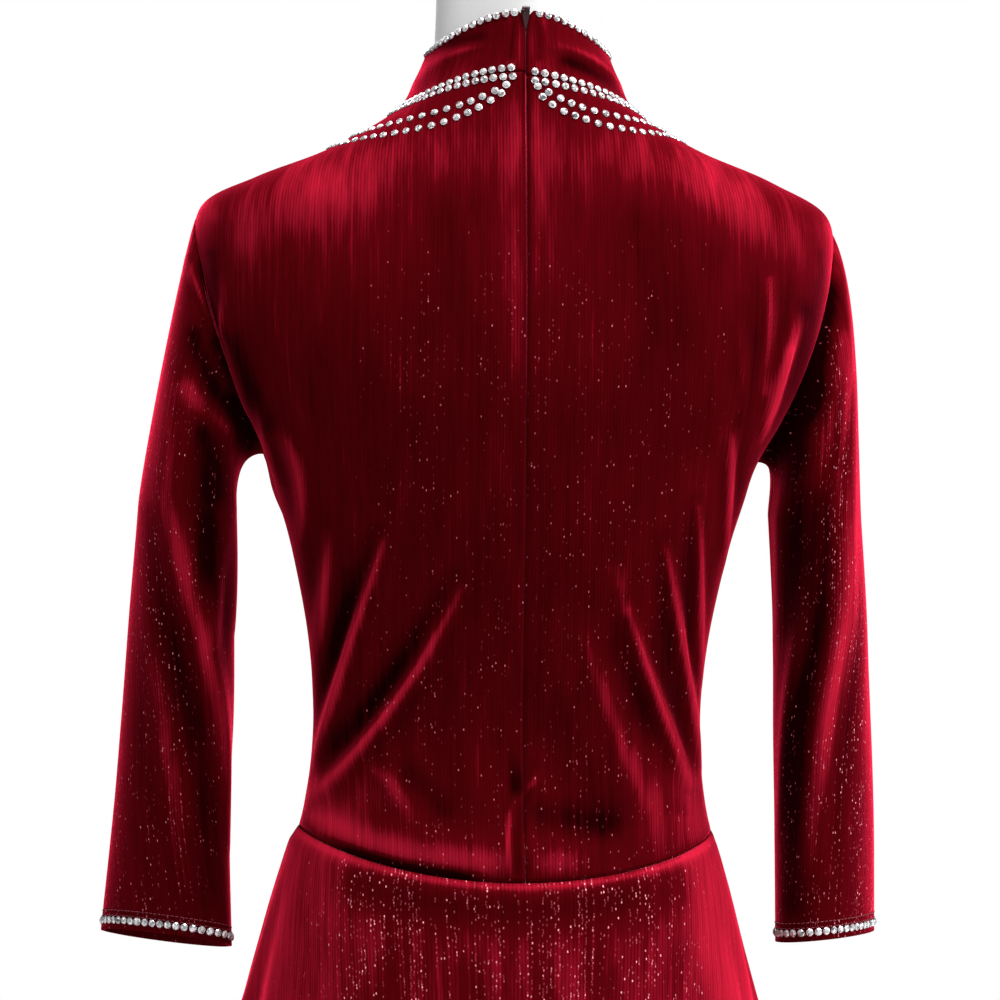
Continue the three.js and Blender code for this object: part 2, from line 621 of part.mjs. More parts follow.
// The slider sits behind the collar's notch, leans with it and holds the pull's pin between two ears.
function zipSlider() {
  const body = new THREE.BoxGeometry(SLIDER.wide, SLIDER.thick, SLIDER.tall);
  body.translate(0, -SLIDER.behind - SLIDER.thick / 2, 0.4 - SLIDER.tall / 2);
  const [reach, wide] = [SLIDER.behind + EAR.proud, EAR.outside - EAR.inside];
  const ear = (side) => {
    const block = new THREE.BoxGeometry(wide, reach + 0.5, EAR.tall);
    return block.translate(side * (EAR.inside + wide / 2), EAR.proud - (reach + 0.5) / 2, -EAR.tall * 0.1);
  };
  const pin = new THREE.CylinderGeometry(PIN_RADIUS, PIN_RADIUS, 2 * EAR.inside + wide, 12);
  const pieces = [body, ear(1), ear(-1), pin.rotateZ(Math.PI / 2)];
  const made = pieces.map((piece) => {
    return solid(piece.rotateX(SLIDER.lean).translate(0, PIVOT.y, NAPE + PIVOT.height));
  });
  return geometryOf(made.reduce((whole, piece) => whole.add(piece)));
}

// The pull is a flat leaf that hangs in the notch: a barrel between the ears, then wide, then a fine tip.
function zipPull() {
  const leaf = new THREE.Shape();
  leaf.moveTo(PULL.neck, -1);
  leaf.lineTo(-PULL.neck, -1);
  leaf.lineTo(-PULL.neck, -1.8);
  leaf.quadraticCurveTo(-PULL.shoulder, -2.1, -PULL.shoulder, -3.6);
  leaf.quadraticCurveTo(-PULL.shoulder * 0.8, -8, -PULL.tip, -PULL.length + 0.4);
  leaf.quadraticCurveTo(0, -PULL.length - 0.2, PULL.tip, -PULL.length + 0.4);
  leaf.quadraticCurveTo(PULL.shoulder * 0.8, -8, PULL.shoulder, -3.6);
  leaf.quadraticCurveTo(PULL.shoulder, -2.1, PULL.neck, -1.8);
  const options = { depth: PULL.thick, bevelEnabled: false, curveSegments: 6 };
  const blade = new THREE.ExtrudeGeometry(leaf, options);
  blade.rotateX(Math.PI / 2).translate(0, PIVOT.y + PULL.thick / 2, NAPE + PIVOT.height);
  const round = (radius, wide) => {
    const rod = new THREE.CylinderGeometry(radius, radius, wide, 16).rotateZ(Math.PI / 2);
    return solid(rod.translate(0, PIVOT.y, NAPE + PIVOT.height));
  };
  const barrel = round(PULL.barrel, 2 * PULL.neck);
  return geometryOf(solid(blade).add(barrel).subtract(round(PULL.eye, 4)));
}

// ---- Finishes and the group ----
const velvet = new THREE.MeshStandardMaterial({ color: 0x7a0418, roughness: 0.75 });
const ivory = new THREE.MeshStandardMaterial({ color: 0xe6e6e6, roughness: 0.6 });
const steel = new THREE.MeshStandardMaterial({ color: 0xb9bcc0, roughness: 0.35, metalness: 0.9 });
const tapeCloth = new THREE.MeshStandardMaterial({ color: 0x3a070c, roughness: 0.85 });
const lacquer = new THREE.MeshStandardMaterial({ color: 0x4a1a1d, roughness: 0.4, metalness: 0.3 });

const dress = new THREE.Group();
const pieces = [
  ["bodice_front", frontPanel(), velvet],
  ["bodice_back_left", backPanel(1), velvet],
  ["bodice_back_right", backPanel(-1), velvet],
  ["collar", collar(), velvet],
  ["sleeve_left", sleeveTube(1), velvet],
  ["sleeve_right", sleeveTube(-1), velvet],
  ["skirt_front", skirtPanel(false), velvet],
  ["skirt_back", skirtPanel(true), velvet],
  ["zip_tape", zipTape(), tapeCloth],
  ["zip_slider", zipSlider(), lacquer],
  ["zip_pull", zipPull(), lacquer],
  ["form_torso", dressForm(), ivory],
  ["form_pole", standPole(), steel],
  ["form_plate", standPlate(), steel],
];
for (const [name, geometry, material] of pieces) {
  const mesh = new THREE.Mesh(geometry, material);
  mesh.name = name;
  dress.add(mesh);
}

export default dress;
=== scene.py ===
"""A figure skating dress of ribbed stretch velvet on a limbless dress form with a table stand. The dress
has a funnel collar, three-quarter sleeves, a flared skirt, rhinestones and a concealed zip. Tables are in
millimetres, heights from the nape."""

import math
import random
from functools import lru_cache

import bmesh
import bpy
from mathutils import Matrix, Vector


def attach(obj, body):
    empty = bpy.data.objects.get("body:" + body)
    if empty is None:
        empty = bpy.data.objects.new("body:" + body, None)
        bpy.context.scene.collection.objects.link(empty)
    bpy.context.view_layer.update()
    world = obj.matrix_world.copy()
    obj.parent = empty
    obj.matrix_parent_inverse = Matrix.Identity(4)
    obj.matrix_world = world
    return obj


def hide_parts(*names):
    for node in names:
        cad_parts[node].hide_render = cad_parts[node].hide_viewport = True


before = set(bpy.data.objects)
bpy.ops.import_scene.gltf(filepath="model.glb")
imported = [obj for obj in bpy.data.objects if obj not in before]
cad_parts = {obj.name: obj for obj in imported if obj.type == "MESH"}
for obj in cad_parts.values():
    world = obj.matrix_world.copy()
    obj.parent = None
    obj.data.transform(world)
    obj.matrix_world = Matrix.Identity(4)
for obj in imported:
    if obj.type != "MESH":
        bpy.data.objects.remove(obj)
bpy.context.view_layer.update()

MM = 0.001
NAPE = 960
WALL = 1.4
SEAM_GAP = 0.3
SEAM = {"side": -457, "centre": -483}
HEM = -738
SIDES = {"left": 1, "right": -1}
STEP = 1e-3


def table(names, *rows):
    """A table's rows, each with its columns' names."""
    return [dict(zip(names, row)) for row in rows]


# ---- The bodice and collar as rings, from the hips to the collar's top edge ----
# side, front, back: heights. wide: half width. front_y, back_y: the centre front and back. square: 2 for an
# ellipse, more for a squarer ring.
RING = ("side", "front", "back", "wide", "front_y", "back_y", "square")
BODY = table(
    RING,
    (-650, -650, -650, 156, -101, 113, 2.2),
    (-600, -600, -600, 160, -107, 119, 2.2),
    (-540, -540, -540, 152, -107, 108, 2.2),
    (-480, -480, -480, 135, -100, 89, 2.15),
    (-440, -440, -440, 124, -96, 78, 2.15),
    (-390, -390, -390, 120, -94, 73, 2.15),
    (-340, -340, -340, 124, -102, 80, 2.2),
    (-290, -290, -290, 134, -115, 91, 2.25),
    (-255, -252, -255, 144, -121, 98, 2.3),
    (-228, -216, -222, 153, -120, 102, 2.35),
    (-190, -183, -188, 175, -111, 105, 2.5),
    (-150, -154, -155, 190, -102, 104, 2.6),
    (-110, -129, -122, 197, -93, 99, 2.5),
    (-76, -109, -88, 194, -84, 91, 2.3),
    (-57.5, -92, -58, 161, -76, 83, 2.15),
    (-39.5, -75, -27, 117, -68, 74, 2.05),
    (-15, -56, 5, 76, -59, 65, 2),
    (5, -34, 24, 64, -53, 60, 2),
    (23, -12, 43.5, 56, -50, 56, 2),
)
ARMPIT, TIP, NECK_SEAM, COLLAR_TOP = 9, 12.75, 16, 18
NECK_DIP = {"angle": 0.36, "spread": 0.5, "drop": 0.13}
SHOULDER_RISE = {"height": 2.4, "x": -142, "spread": 46, "from": 10, "over": 2}
SIDE_LINE = 0.5
BUST = {"angle": 0.56, "spread": 0.4, "height": -256, "tall": 48, "rise": 13}
REACH = {"back": 0.36, "front": 0.54}
CENTRE_DRIFT = 5.5
ROLL = {"above": 17, "wide": 11, "rise": 4}

SKIRT_RING = ("height", "wide", "front_y", "back_y")
SKIRT = table(
    SKIRT_RING,
    (-440, 127, -98, 81),
    (-490, 138.5, -104, 94),
    (-540, 151, -111, 109),
    (-590, 164, -119, 122),
    (-640, 180, -130, 136),
    (-690, 194, -143, 150),
    (-740, 207, -157, 163),
    (-790, 219, -170, 175),
)
FLUTES = {"count": 12, "rise": 15, "start": 0.16}
LIP = {"most": 3, "right": 1}

SLEEVE_RING = ("height", "x", "y", "thick", "wide", "turn")
SLEEVES = {
    "left": table(
        SLEEVE_RING,
        (-262, 199.5, -2, 30.5, 54, 2),
        (-325, 202, -3, 31, 52, 13),
        (-390, 203.5, -5, 30.5, 50, 25),
        (-455, 206.5, -8, 29, 48, 34),
        (-528, 208.5, -11, 28, 47, 51),
    ),
    "right": table(
        SLEEVE_RING,
        (-262, 190.5, -2, 28.5, 54, 0),
        (-325, 195, -3, 29.5, 52, 5),
        (-390, 198, -5, 30, 50, 17),
        (-455, 201, -8, 29.5, 48, 24),
        (-523.5, 203, -11, 28, 47, 29.5),
    ),
}
SLEEVE_SWELL = {"left": 24, "right": 77}
CUFF_SLANT = {"left": 6.5, "right": 3}

FORM_NECK = table(
    RING,
    (-20, -62, 3, 67, -50, 56, 2),
    (-2, -38, 20, 56, -45, 51.5, 2),
    (22, -2, 40, 52, -43, 49, 2),
    (56, 48, 62, 51, -44, 48, 2),
    (88, 88, 88, 50.5, -45, 47, 2),
)
# How far the form is inside the bodice's wall, which is counted as 1.6 thick.
EASE = {"wall": 1.6, "shoulder": 0.6, "side": 3.5, "centre": 4}

# ---- Creases: ridges along a curve through three points, seen from the front or back ----
# rise: the ridge's height. wide: half its width. valley: the hollow beside it as a share, on the side
# towards the wearer's left where it is above 0.
CREASE = ("x", "z", "rise", "wide", "valley")
BACK_CREASES = table(
    CREASE,
    ((121, 76, 36), (-438, -383, -308), 5.2, 4.7, 0.8),
    ((118.5, 100.5, 82), (-420, -350, -280), 4.5, 3.9, 0.8),
    ((117, 115, 113), (-358, -318, -277), 3, 5, 0.4),
    ((143, 131, 130), (-216, -243, -284), 3, 5, 0.4),
    ((-109, -84, -66), (-426, -370, -320), 5.5, 4.6, 0.5),
    ((-119, -102, -88.5), (-416, -345, -282), 4, 4, 0.7),
    ((-116, -112, -108), (-363, -310, -256), 3, 3.2, 0.8),
    ((-128, -129, -128), (-291, -250, -214), 1.4, 4.4, -0.4),
    ((-151, -157, -168), (-204, -176, -148), 3.5, 6, -0.5),
    ((-129, -131, -132), (-146, -167, -187), 1.6, 4, -0.5),
    ((-150, -149, -148), (-119, -143, -169), 1.6, 3.5, -0.5),
    ((-167, -160, -150), (-140, -160, -211), 2.4, 3.5, -0.6),
    ((178, 171, 162), (-148, -175, -203), 1.8, 4, 0.6),
    ((-128, -127, -129), (-212, -240, -280), 2.4, 3.5, -0.6),
    ((-80, -60, -37), (-438, -390, -328), 1.6, 8, -0.4),
    ((-6, -5, -8), (-408, -420, -428), 2.2, 2.6, 0.9),
    ((-12, -7, -3), (-421, -427, -434), 2.6, 3, 0.9),
    ((2, 5, 4), (-436, -458, -481), 2.8, 2.6, -0.9),
    ((60, 71, 86), (-452, -430, -416), 1.6, 7, 0.3),
)
FRONT_CREASES = table(
    CREASE,
    ((150, 132, 104), (-232, -262, -292), 3.5, 7, 0.5),
    ((118, 92, 60), (-440, -404, -374), 2.8, 8, 0.5),
    ((116, 108, 96), (-380, -340, -306), 2.5, 6, 0.4),
    ((-150, -134, -108), (-232, -260, -286), 3.5, 7, -0.5),
    ((-118, -96, -66), (-436, -396, -360), 2.8, 8, -0.5),
    ((-116, -106, -92), (-372, -334, -300), 2.5, 6, -0.4),
    ((165, 160, 148), (-140, -172, -206), 2.5, 6, 0.4),
    ((-166, -160, -150), (-144, -174, -204), 2.5, 6, -0.4),
)
# Soft patches of painted light (tone above 0) or painted shade, along a curve through three points.
PAINTED_PATCH = ("x", "z", "tone", "wide")
BACK_PAINTED_LIGHT = table(
    PAINTED_PATCH,
    ((3, 3, 2), (-20, -90, -170), 0.3, 11),
    ((125, 3, -125), (-66, -44, -60), 0.32, 26),
    ((44, 48, 46), (-84, -108, -150), -0.3, 24),
    ((-72, -80, -84), (-84, -112, -150), -0.4, 26),
    ((168, 150, 118), (-98, -90, -70), 0.4, 25),
    ((172, 150, 128), (-112, -106, -104), -0.05, 12),
    ((-168, -146, -112), (-96, -84, -62), 0.35, 18),
    ((-160, -150, -140), (-128, -140, -150), -0.3, 16),
    ((-149, -148, -147), (-118, -149, -186), 0.45, 2.6),
    ((-162, -155, -150), (-160, -191, -216), 0.7, 3.2),
    ((-169, -168, -167), (-148, -160, -176), 0.6, 3),
    ((-172, -167, -158), (-138, -172, -206), -0.5, 6),
    ((108, 96, 84), (-418, -428, -434), 0.22, 11),
    ((125, 117, 104), (-412, -431, -446), 0.5, 12),
    ((104, 106, 108), (-300, -328, -350), -0.35, 5),
    ((-57, -61, -65), (-294, -306, -318), 0.5, 4.5),
    ((-84, -88, -92), (-408, -430, -452), 0.35, 17),
    ((-104, -112, -118), (-424, -440, -456), 0.5, 12),
    ((-30, -42, -56), (-380, -414, -442), -0.4, 18),
    ((62, 50, 44), (-420, -432, -440), -0.5, 7),
    ((-16, -36, -56), (-441, -445, -449), -0.45, 9),
)
# Folds that run on from the backs over the armholes into the sleeves, with painted shade in the hollows
# beside them and some painted light.
ARMHOLE_CREASES = table(
    CREASE,
    ((201, 194, 181), (-110, -132, -169), 2.2, 2.6, -0.9),
    ((179, 179, 180), (-125, -144, -160), 1.6, 2.6, 0.5),
    ((156, 151, 144), (-200, -222, -246), 2.0, 3.2, 0.6),
    ((-204, -201, -196), (-152, -192, -236), 1.6, 2.6, 0.3),
)
ARMHOLE_PAINTED_LIGHT = table(
    PAINTED_PATCH,
    ((188, 187, 181), (-108, -136, -160), -1.3, 4.5),
    ((176, 167, 156), (-164, -186, -212), -1.2, 8),
    ((171, 167, 164), (-200, -216, -232), -1.8, 5.5),
    ((197, 189, 177), (-157, -181, -199), -0.9, 6.5),
    ((201, 189, 176), (-189, -201, -212), 0.6, 7),
    ((190, 185, 183), (-216, -230, -252), -0.7, 7),
    ((-189, -184, -176), (-122, -159, -192), -1.5, 9),
    ((-178, -170, -164), (-186, -208, -232), -1.6, 9),
    ((-184, -186, -188), (-100, -110, -118), -0.9, 3.2),
    ((-194, -201, -205), (-84, -98, -108), 0.5, 8),
    ((-200, -193, -183), (-150, -192, -238), 0.6, 8),
    ((190, 198, 200), (-84, -92, -102), 0.5, 7),
)
COLLAR_CREASES = table(
    CREASE,
    ((-20, -44, -60), (22, 15, 3), 1.6, 3.2, 0.9),
    ((56, 42, 26), (10, 17, 21), 1.3, 3.2, 0.9),
    ((9, 10, 12), (38, 28, 18), 0.9, 1.8, 0.9),
    ((-10, -12, -13), (38, 30, 20), 0.8, 1.8, -0.9),
)
# Painted shade in the collar's folds.
COLLAR_PAINTED_SHADE = table(
    PAINTED_PATCH,
    ((-24, -45, -61), (13, 6, -5), -0.8, 4),
    ((55, 42, 27), (19, 24, 27), -0.6, 5),
    ((7, 8, 9), (36, 26, 14), -0.7, 2.2),
    ((-7, -8, -8), (36, 26, 14), -0.6, 2),
)
# Painted shade in the hollows of the sleeves, and painted light beside them.
SLEEVE_PAINTED_LIGHT = {
    "left": table(PAINTED_PATCH, ((182, 180, 184), (-240, -320, -500), -0.3, 9)),
    "right": table(
        PAINTED_PATCH,
        ((-168, -168, -170), (-225, -330, -500), -1.1, 11),
        ((-222, -228, -230), (-240, -380, -520), 0.55, 7),
        ((-196, -196, -198), (-236, -330, -480), 0.35, 4),
    ),
}
# Ridges down the sleeves. at: degrees from the outside towards the front, at the ridge's top and foot.
SLEEVE_CREASE = ("at", "from", "to", "rise", "wide")
SLEEVE_CREASES = {
    "left": table(
        SLEEVE_CREASE,
        ((-58, -118), 0.5, 4.2, 4, 0.3),
        ((-140, -150), 0.2, 2.2, 3, 0.3),
        ((-132, -96), 1, 2.4, 2.5, 0.2),
        ((-30, -52), 1.6, 4.6, 1.6, 0.25),
        ((70, 100), 0.6, 4, 3, 0.32),
        ((130, 118), 0.4, 2.6, 2.5, 0.25),
    ),
    "right": table(
        SLEEVE_CREASE,
        ((-58, -84), 0.5, 4.4, 4, 0.26),
        ((-140, -150), 0.2, 2.2, 3, 0.3),
        ((-112, -128), 0.8, 4, 1.8, 0.2),
        ((70, 100), 0.6, 4, 3, 0.32),
        ((126, 112), 0.4, 2.8, 2.5, 0.25),
    ),
}


def lerp(a, b, t):
    return a + (b - a) * t


def ease(t):
    t = min(1.0, max(0.0, t))
    return t * t * (3 - 2 * t)


def bump(distance, wide):
    return math.exp(-((distance / wide) ** 2))


def column(rows, name, at):
    """A table's column between its rows, on a smooth curve through them."""
    k = min(len(rows) - 2, max(0, math.floor(at)))
    t = at - k
    a, b, c, d = (rows[min(len(rows) - 1, max(0, i))][name] for i in range(k - 1, k + 3))
    return b + 0.5 * t * (c - a + t * (2 * a - 5 * b + 4 * c - d + t * (3 * (b - c) + d - a)))


def ring_point(ring, angle):
    """A point on a ring: the angle is 0 at the centre front and a quarter turn at the wearer's left."""
    s, c = math.sin(angle), -math.cos(angle)
    fit = (abs(s) ** ring["square"] + abs(c) ** ring["square"]) ** (-1 / ring["square"])
    deep = ring["back_y"] - SIDE_LINE if c > 0 else SIDE_LINE - ring["front_y"]
    end = ring["back"] if c > 0 else ring["front"]
    height = NAPE + ring["side"] + (end - ring["side"]) * abs(c) ** 2.4
    return Vector((ring["wide"] * fit * s, SIDE_LINE + deep * fit * c, height))


@lru_cache(maxsize=None)
def body_ring(level):
    return {name: column(BODY, name, level) for name in RING}


def torso(angle, level):
    point = ring_point(body_ring(round(level, 4)), angle)
    turn = abs(math.atan2(math.sin(angle), math.cos(angle)))
    cup = bump(turn - BUST["angle"], BUST["spread"]) * bump(point.z - NAPE - BUST["height"], BUST["tall"])
    point.y -= BUST["rise"] * cup
    shoulder = ease((level - SHOULDER_RISE["from"]) / SHOULDER_RISE["over"])
    rise = SHOULDER_RISE["height"] * shoulder
    point.z += rise * bump(point.x - SHOULDER_RISE["x"], SHOULDER_RISE["spread"])
    return point


def normal_of(surface, a, b):
    across = surface(a + STEP, b) - surface(a - STEP, b)
    return across.cross(surface(a, b + STEP) - surface(a, b - STEP)).normalized()


def seam_height(angle):
    return lerp(SEAM["side"], SEAM["centre"], math.cos(angle) ** 2)


@lru_cache(maxsize=None)
def level_below_bust(height):
    low, high = 0.0, 7.0
    for _ in range(24):
        middle = (low + high) / 2
        low, high = (middle, high) if column(BODY, "side", middle) < height else (low, middle)
    return low


def level_at(height):
    """The torso's level at a height between the hips and the bust, where its rings are level."""
    return level_below_bust(round(height, 2))


def neck_seam(angle):
    """The neck seam's level, which sags to the right of the zip."""
    if math.sin(angle) >= 0:
        return NECK_SEAM
    from_back = abs(math.atan2(math.sin(angle), -math.cos(angle)))
    return NECK_SEAM - NECK_DIP["drop"] * bump(from_back - NECK_DIP["angle"], NECK_DIP["spread"])


def bodice(angle, level):
    """The torso with the roll that the cloth makes just above the waist seam."""
    point = torso(angle, level)
    above = point.z - NAPE - seam_height(angle) - ROLL["above"]
    rise = ROLL["rise"] * bump(above, ROLL["wide"]) * math.cos(angle) ** 2
    return point + normal_of(torso, angle, level) * rise if rise > 0.01 else point


def skirt(angle, up):
    """The skirt from the hem at 0 to the waist seam at 1."""
    top = seam_height(angle) - SEAM_GAP / 2
    height = lerp(HEM, top, up)
    at = (height - SKIRT[0]["height"]) / (SKIRT[1]["height"] - SKIRT[0]["height"])
    ring = {"side": height, "front": height, "back": height, "square": 2.1}
    ring.update({name: column(SKIRT, name, at) for name in SKIRT_RING[1:]})
    drop = top - height
    held = torso(angle, level_at(max(height, -640)))
    point = held.lerp(ring_point(ring, angle), ease(drop / 70))
    share = 1 - up
    grown = ease((share - FLUTES["start"]) / (1 - FLUTES["start"])) ** 1.2
    uneven = 1 + 0.22 * math.sin(3 * angle + 1)
    wave = math.cos(FLUTES["count"] * angle + 0.7 * math.sin(2 * angle + 0.6))
    proud = lerp(LIP["most"], LIP["right"], max(0, -math.sin(angle)) ** 2) * ease(drop / 9)
    away = FLUTES["rise"] * grown * uneven * wave + proud
    return point + Vector((math.sin(angle), -math.cos(angle), 0)) * away


def armhole(level, reach):
    t = min(1.0, max(0.0, (level - ARMPIT) / (TIP - ARMPIT)))
    return reach * math.sin(math.pi * t**0.9) ** 0.6


def gap_angle(angle, level, gap=SEAM_GAP):
    """The turn that is half as wide as a gap at a place on the torso."""
    return gap * STEP / (torso(angle + STEP, level) - torso(angle - STEP, level)).length


@lru_cache(maxsize=None)
def half_gap(level):
    return gap_angle(math.pi / 2, level), gap_angle(math.pi, level)


def centre_back(level):
    return math.pi + CENTRE_DRIFT * ease((ARMPIT + 2 - level) / ARMPIT) / body_ring(level)["wide"]


def sleeve(name):
    """A sleeve drawn as if on the left. place is 0 outside and a quarter turn in front, and along runs down
    from the armhole to 1 at the first ring and on from ring to ring."""
    side, rows = SIDES[name], SLEEVES[name]

    def ring(place, at):
        turned = math.radians(column(rows, "turn", at))
        x = column(rows, "thick", at) * math.cos(place)
        y = -column(rows, "wide", at) * math.sin(place)
        slant = CUFF_SLANT[name] * math.cos(place) * ease(at / (len(rows) - 1))
        return Vector(
            (
                column(rows, "x", at) + x * math.cos(turned) - y * math.sin(turned),
                column(rows, "y", at) + x * math.sin(turned) + y * math.cos(turned),
                NAPE + column(rows, "height", at) + slant,
            )
        )

    @lru_cache(maxsize=None)
    def ends(place):
        c, s = math.cos(place), math.sin(place)
        raised = 0.5 + 0.5 * c
        level = ARMPIT + (TIP - ARMPIT) * raised
        reach = armhole(level, REACH["back" if s < 0 else "front"])
        start = bodice(side * (math.pi / 2 - math.copysign(reach, s)), level)
        start.x *= side
        out = Vector((0.85 - 0.15 * c * (1 + c), -0.55 * s, -c * (0.41 + 0.37 * c))).normalized()
        end = ring(place, 0)
        arrive = (ring(place, 0.05) - end) * 20 * lerp(0.95, 2.2, raised)
        return start + out * 0.03, out * lerp(52, SLEEVE_SWELL[name], raised), end, arrive

    def surface(place, along):
        if along > 1:
            return ring(place, along - 1)
        start, leave, end, arrive = ends(round(place, 5))
        t, u = along, along * along
        return (
            start * (1 + u * (2 * t - 3))
            + leave * (t * (1 - t) ** 2)
            + end * (u * (3 - 2 * t))
            + arrive * (u * (t - 1))
        )

    return surface


def path_points(crease, steps=14):
    """The places along a crease's curve, as (x, z)."""
    points = []
    for k in range(steps + 1):
        t = k / steps
        p, q, r = (1 - t) * (1 - 2 * t), 4 * t * (1 - t), t * (2 * t - 1)
        points.append(tuple(p * crease[n][0] + q * crease[n][1] + r * crease[n][2] for n in ("x", "z")))
    return points


def beside_path(crease, x, z):
    """A place's distance from a crease's curve, its share along it and how far left of it it is, or None."""
    reach = 4 * crease["wide"]
    if not min(crease["x"]) - reach < x < max(crease["x"]) + reach:
        return None
    if not min(crease["z"]) - reach < z < max(crease["z"]) + reach:
        return None
    path = crease.setdefault("path", path_points(crease))
    nearest, share, beside = 1e9, 0.0, 0.0
    for k in range(len(path) - 1):
        (ax, az), (bx, bz) = path[k], path[k + 1]
        dx, dz = bx - ax, bz - az
        t = min(1.0, max(0.0, ((x - ax) * dx + (z - az) * dz) / (dx * dx + dz * dz)))
        distance = math.hypot(x - ax - t * dx, z - az - t * dz)
        if distance < nearest:
            nearest, share = distance, (k + t) / (len(path) - 1)
            beside = math.copysign(distance, x - ax - t * dx)
    return nearest, share, beside


def painted_patches(patches, x, z):
    """How much light or shade is painted in broad soft patches."""
    tone = 0.0
    for patch in patches:
        found = beside_path(patch, x, z)
        if found:
            tone += patch["tone"] * bump(found[0], patch["wide"])
    return tone


def creased(creases, patches, point):
    """How far the creases lift the cloth at a point, and how much painted highlight or painted shade it has
    there.
    """
    x, z = point.x, point.z - NAPE
    lift = painted_light = 0.0
    for crease in creases:
        found = beside_path(crease, x, z)
        if not found:
            continue
        nearest, share, beside = found
        fade = math.sin(math.pi * lerp(0.06, 0.94, share)) ** 0.7
        wide = crease["wide"] * lerp(1.2, 0.8, share)
        deep, aside = abs(crease["valley"]), math.copysign(wide, crease["valley"])
        crest = bump(nearest, wide)
        hollow = bump(beside - 1.9 * aside, 1.1 * wide) * deep
        other = bump(beside + 1.9 * aside, wide) * 0.25
        lift += crease["rise"] * fade * (crest - 0.45 * hollow - 0.3 * other)
        # The crest gets a painted highlight and the hollows beside it painted shade.
        shade = bump(beside - 2.4 * aside, 1.6 * wide) * deep
        light = 1.4 * bump(nearest, 0.6 * wide) - 1.2 * shade - 0.4 * other
        painted_light += min(1.0, crease["rise"] / 4) * fade * light
    return lift, painted_light + painted_patches(patches, x, z)


# ---- Making pieces ----
def new_piece(name, bm, material, smooth=True):
    for face in bm.faces:
        face.smooth = smooth
    mesh = bpy.data.meshes.new(name)
    bm.to_mesh(mesh)
    bm.free()
    piece = bpy.data.objects.new(name, mesh)
    bpy.context.scene.collection.objects.link(piece)
    mesh.materials.append(material)
    return piece


def finish_piece(name, bm, material, smooth=True):
    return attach(new_piece(name, bm, material, smooth), "dress_on_form")


# How the cloth is drawn in at a seam: the groove's half width, and how near the creases die away.
GROOVE = {"wide": 1.6, "calm": 7}


def lay_cloth(name, size, surface, place, relief, seams, centre=0.5, flat=None, round_it=None):
    """A panel of velvet on a surface in place of a node, with its flat lengths in metres as its UV map.
    size: columns and rows. place gives the surface's numbers at a share across and up, and relief a
    point's lift with its painted light and shade and its share of glitter. seams: how deep the cloth is
    drawn in at its left, right, bottom and top edges, with painted shade along them, where a function
    gives it at a height. centre: the share across where the ribs run true, unless flat gives the
    lengths. round_it: the width of a tube's cloth."""
    columns, rows = size
    bm = bmesh.new()
    painted_light_layer, sparkle_layer = bm.verts.layers.float.new("painted_light"), bm.verts.layers.float.new("sparkle")
    uv = bm.loops.layers.uv.new("cloth")
    bmesh.ops.create_grid(bm, x_segments=columns, y_segments=rows, size=0.5)
    grid = {}
    for vert in bm.verts:
        key = round((vert.co.x + 0.5) * columns), round((vert.co.y + 0.5) * rows)
        grid[key] = vert
        vert.co = surface(*place(key[0] / columns, key[1] / rows)) * MM
    across, level, along = {}, {}, {}
    for j in range(rows + 1):
        across[0, j] = level[0, j] = 0.0
        for i in range(1, columns + 1):
            step = grid[i, j].co - grid[i - 1, j].co
            across[i, j] = across[i - 1, j] + step.length
            level[i, j] = level[i - 1, j] + step.xy.length
    for i in range(columns + 1):
        along[i, 0] = 0.0
        for j in range(1, rows + 1):
            along[i, j] = along[i, j - 1] + (grid[i, j].co - grid[i, j - 1].co).length
    bm.normal_update()
    moves = {}
    for (i, j), vert in grid.items():
        lift, painted_light, vert[sparkle_layer] = relief(vert.co / MM, i / columns, j / rows)
        away = (across[i, j], across[columns, j] - across[i, j], along[i, j], along[i, rows] - along[i, j])
        tuck_and_shade, hold = 0.0, 1.0
        for distance, depth in zip(away, seams):
            if depth:
                depth = depth(vert.co.z / MM - NAPE) if callable(depth) else depth
                tuck_and_shade = max(tuck_and_shade, depth * bump(distance / MM, GROOVE["wide"]))
                hold = min(hold, ease(distance / MM / GROOVE["calm"]))
        # Seam grooves also get painted shade.
        vert[painted_light_layer] = painted_light * lerp(0.5, 1, hold) - 0.8 * tuck_and_shade
        moves[vert] = (lift * hold - 0.8 * tuck_and_shade) * MM
    normals = {vert: vert.normal.copy() for vert in moves}
    for vert, move in moves.items():
        vert.co += normals[vert] * move
    where = {vert: key for key, vert in grid.items()}
    for face in bm.faces:
        for loop in face.loops:
            i, j = where[loop.vert]
            if flat:
                loop[uv].uv = flat(i / columns, j / rows)
            elif round_it:
                loop[uv].uv = round_it * (i / columns - 0.5), along[i, j]
            else:
                loop[uv].uv = level[i, j] - level[round(centre * columns), j], along[i, j]
    if round_it:
        bmesh.ops.remove_doubles(bm, verts=bm.verts[:], dist=1e-6)
    area = sum(face.calc_area() for face in bm.faces)
    piece = finish_piece(name + "_velvet", bm, VELVET)
    wall = piece.modifiers.new("wall", "SOLIDIFY")
    wall.thickness = WALL * MM
    wall.offset = -1
    wall.use_even_offset = False
    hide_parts(name)
    return piece, area


# ---- Finishes ----
def feed(tree, made, inputs):
    """Sets a shader node's inputs to values, or links them to other nodes' outputs."""
    for name, value in inputs.items():
        if isinstance(value, bpy.types.NodeSocket):
            tree.links.new(value, made.inputs[name])
        else:
            made.inputs[name].default_value = value


def node(tree, kind, inputs=None, **settings):
    made = tree.nodes.new(kind)
    for name, value in settings.items():
        setattr(made, name, value)
    feed(tree, made, inputs or {})
    return made


def sums(tree, operation, a, b=0.0, c=0.0, clamp=False):
    return node(tree, "ShaderNodeMath", {0: a, 1: b, 2: c}, operation=operation, use_clamp=clamp).outputs[0]


def times(tree, a, b, clamp=False):
    return sums(tree, "MULTIPLY", a, b, clamp=clamp)


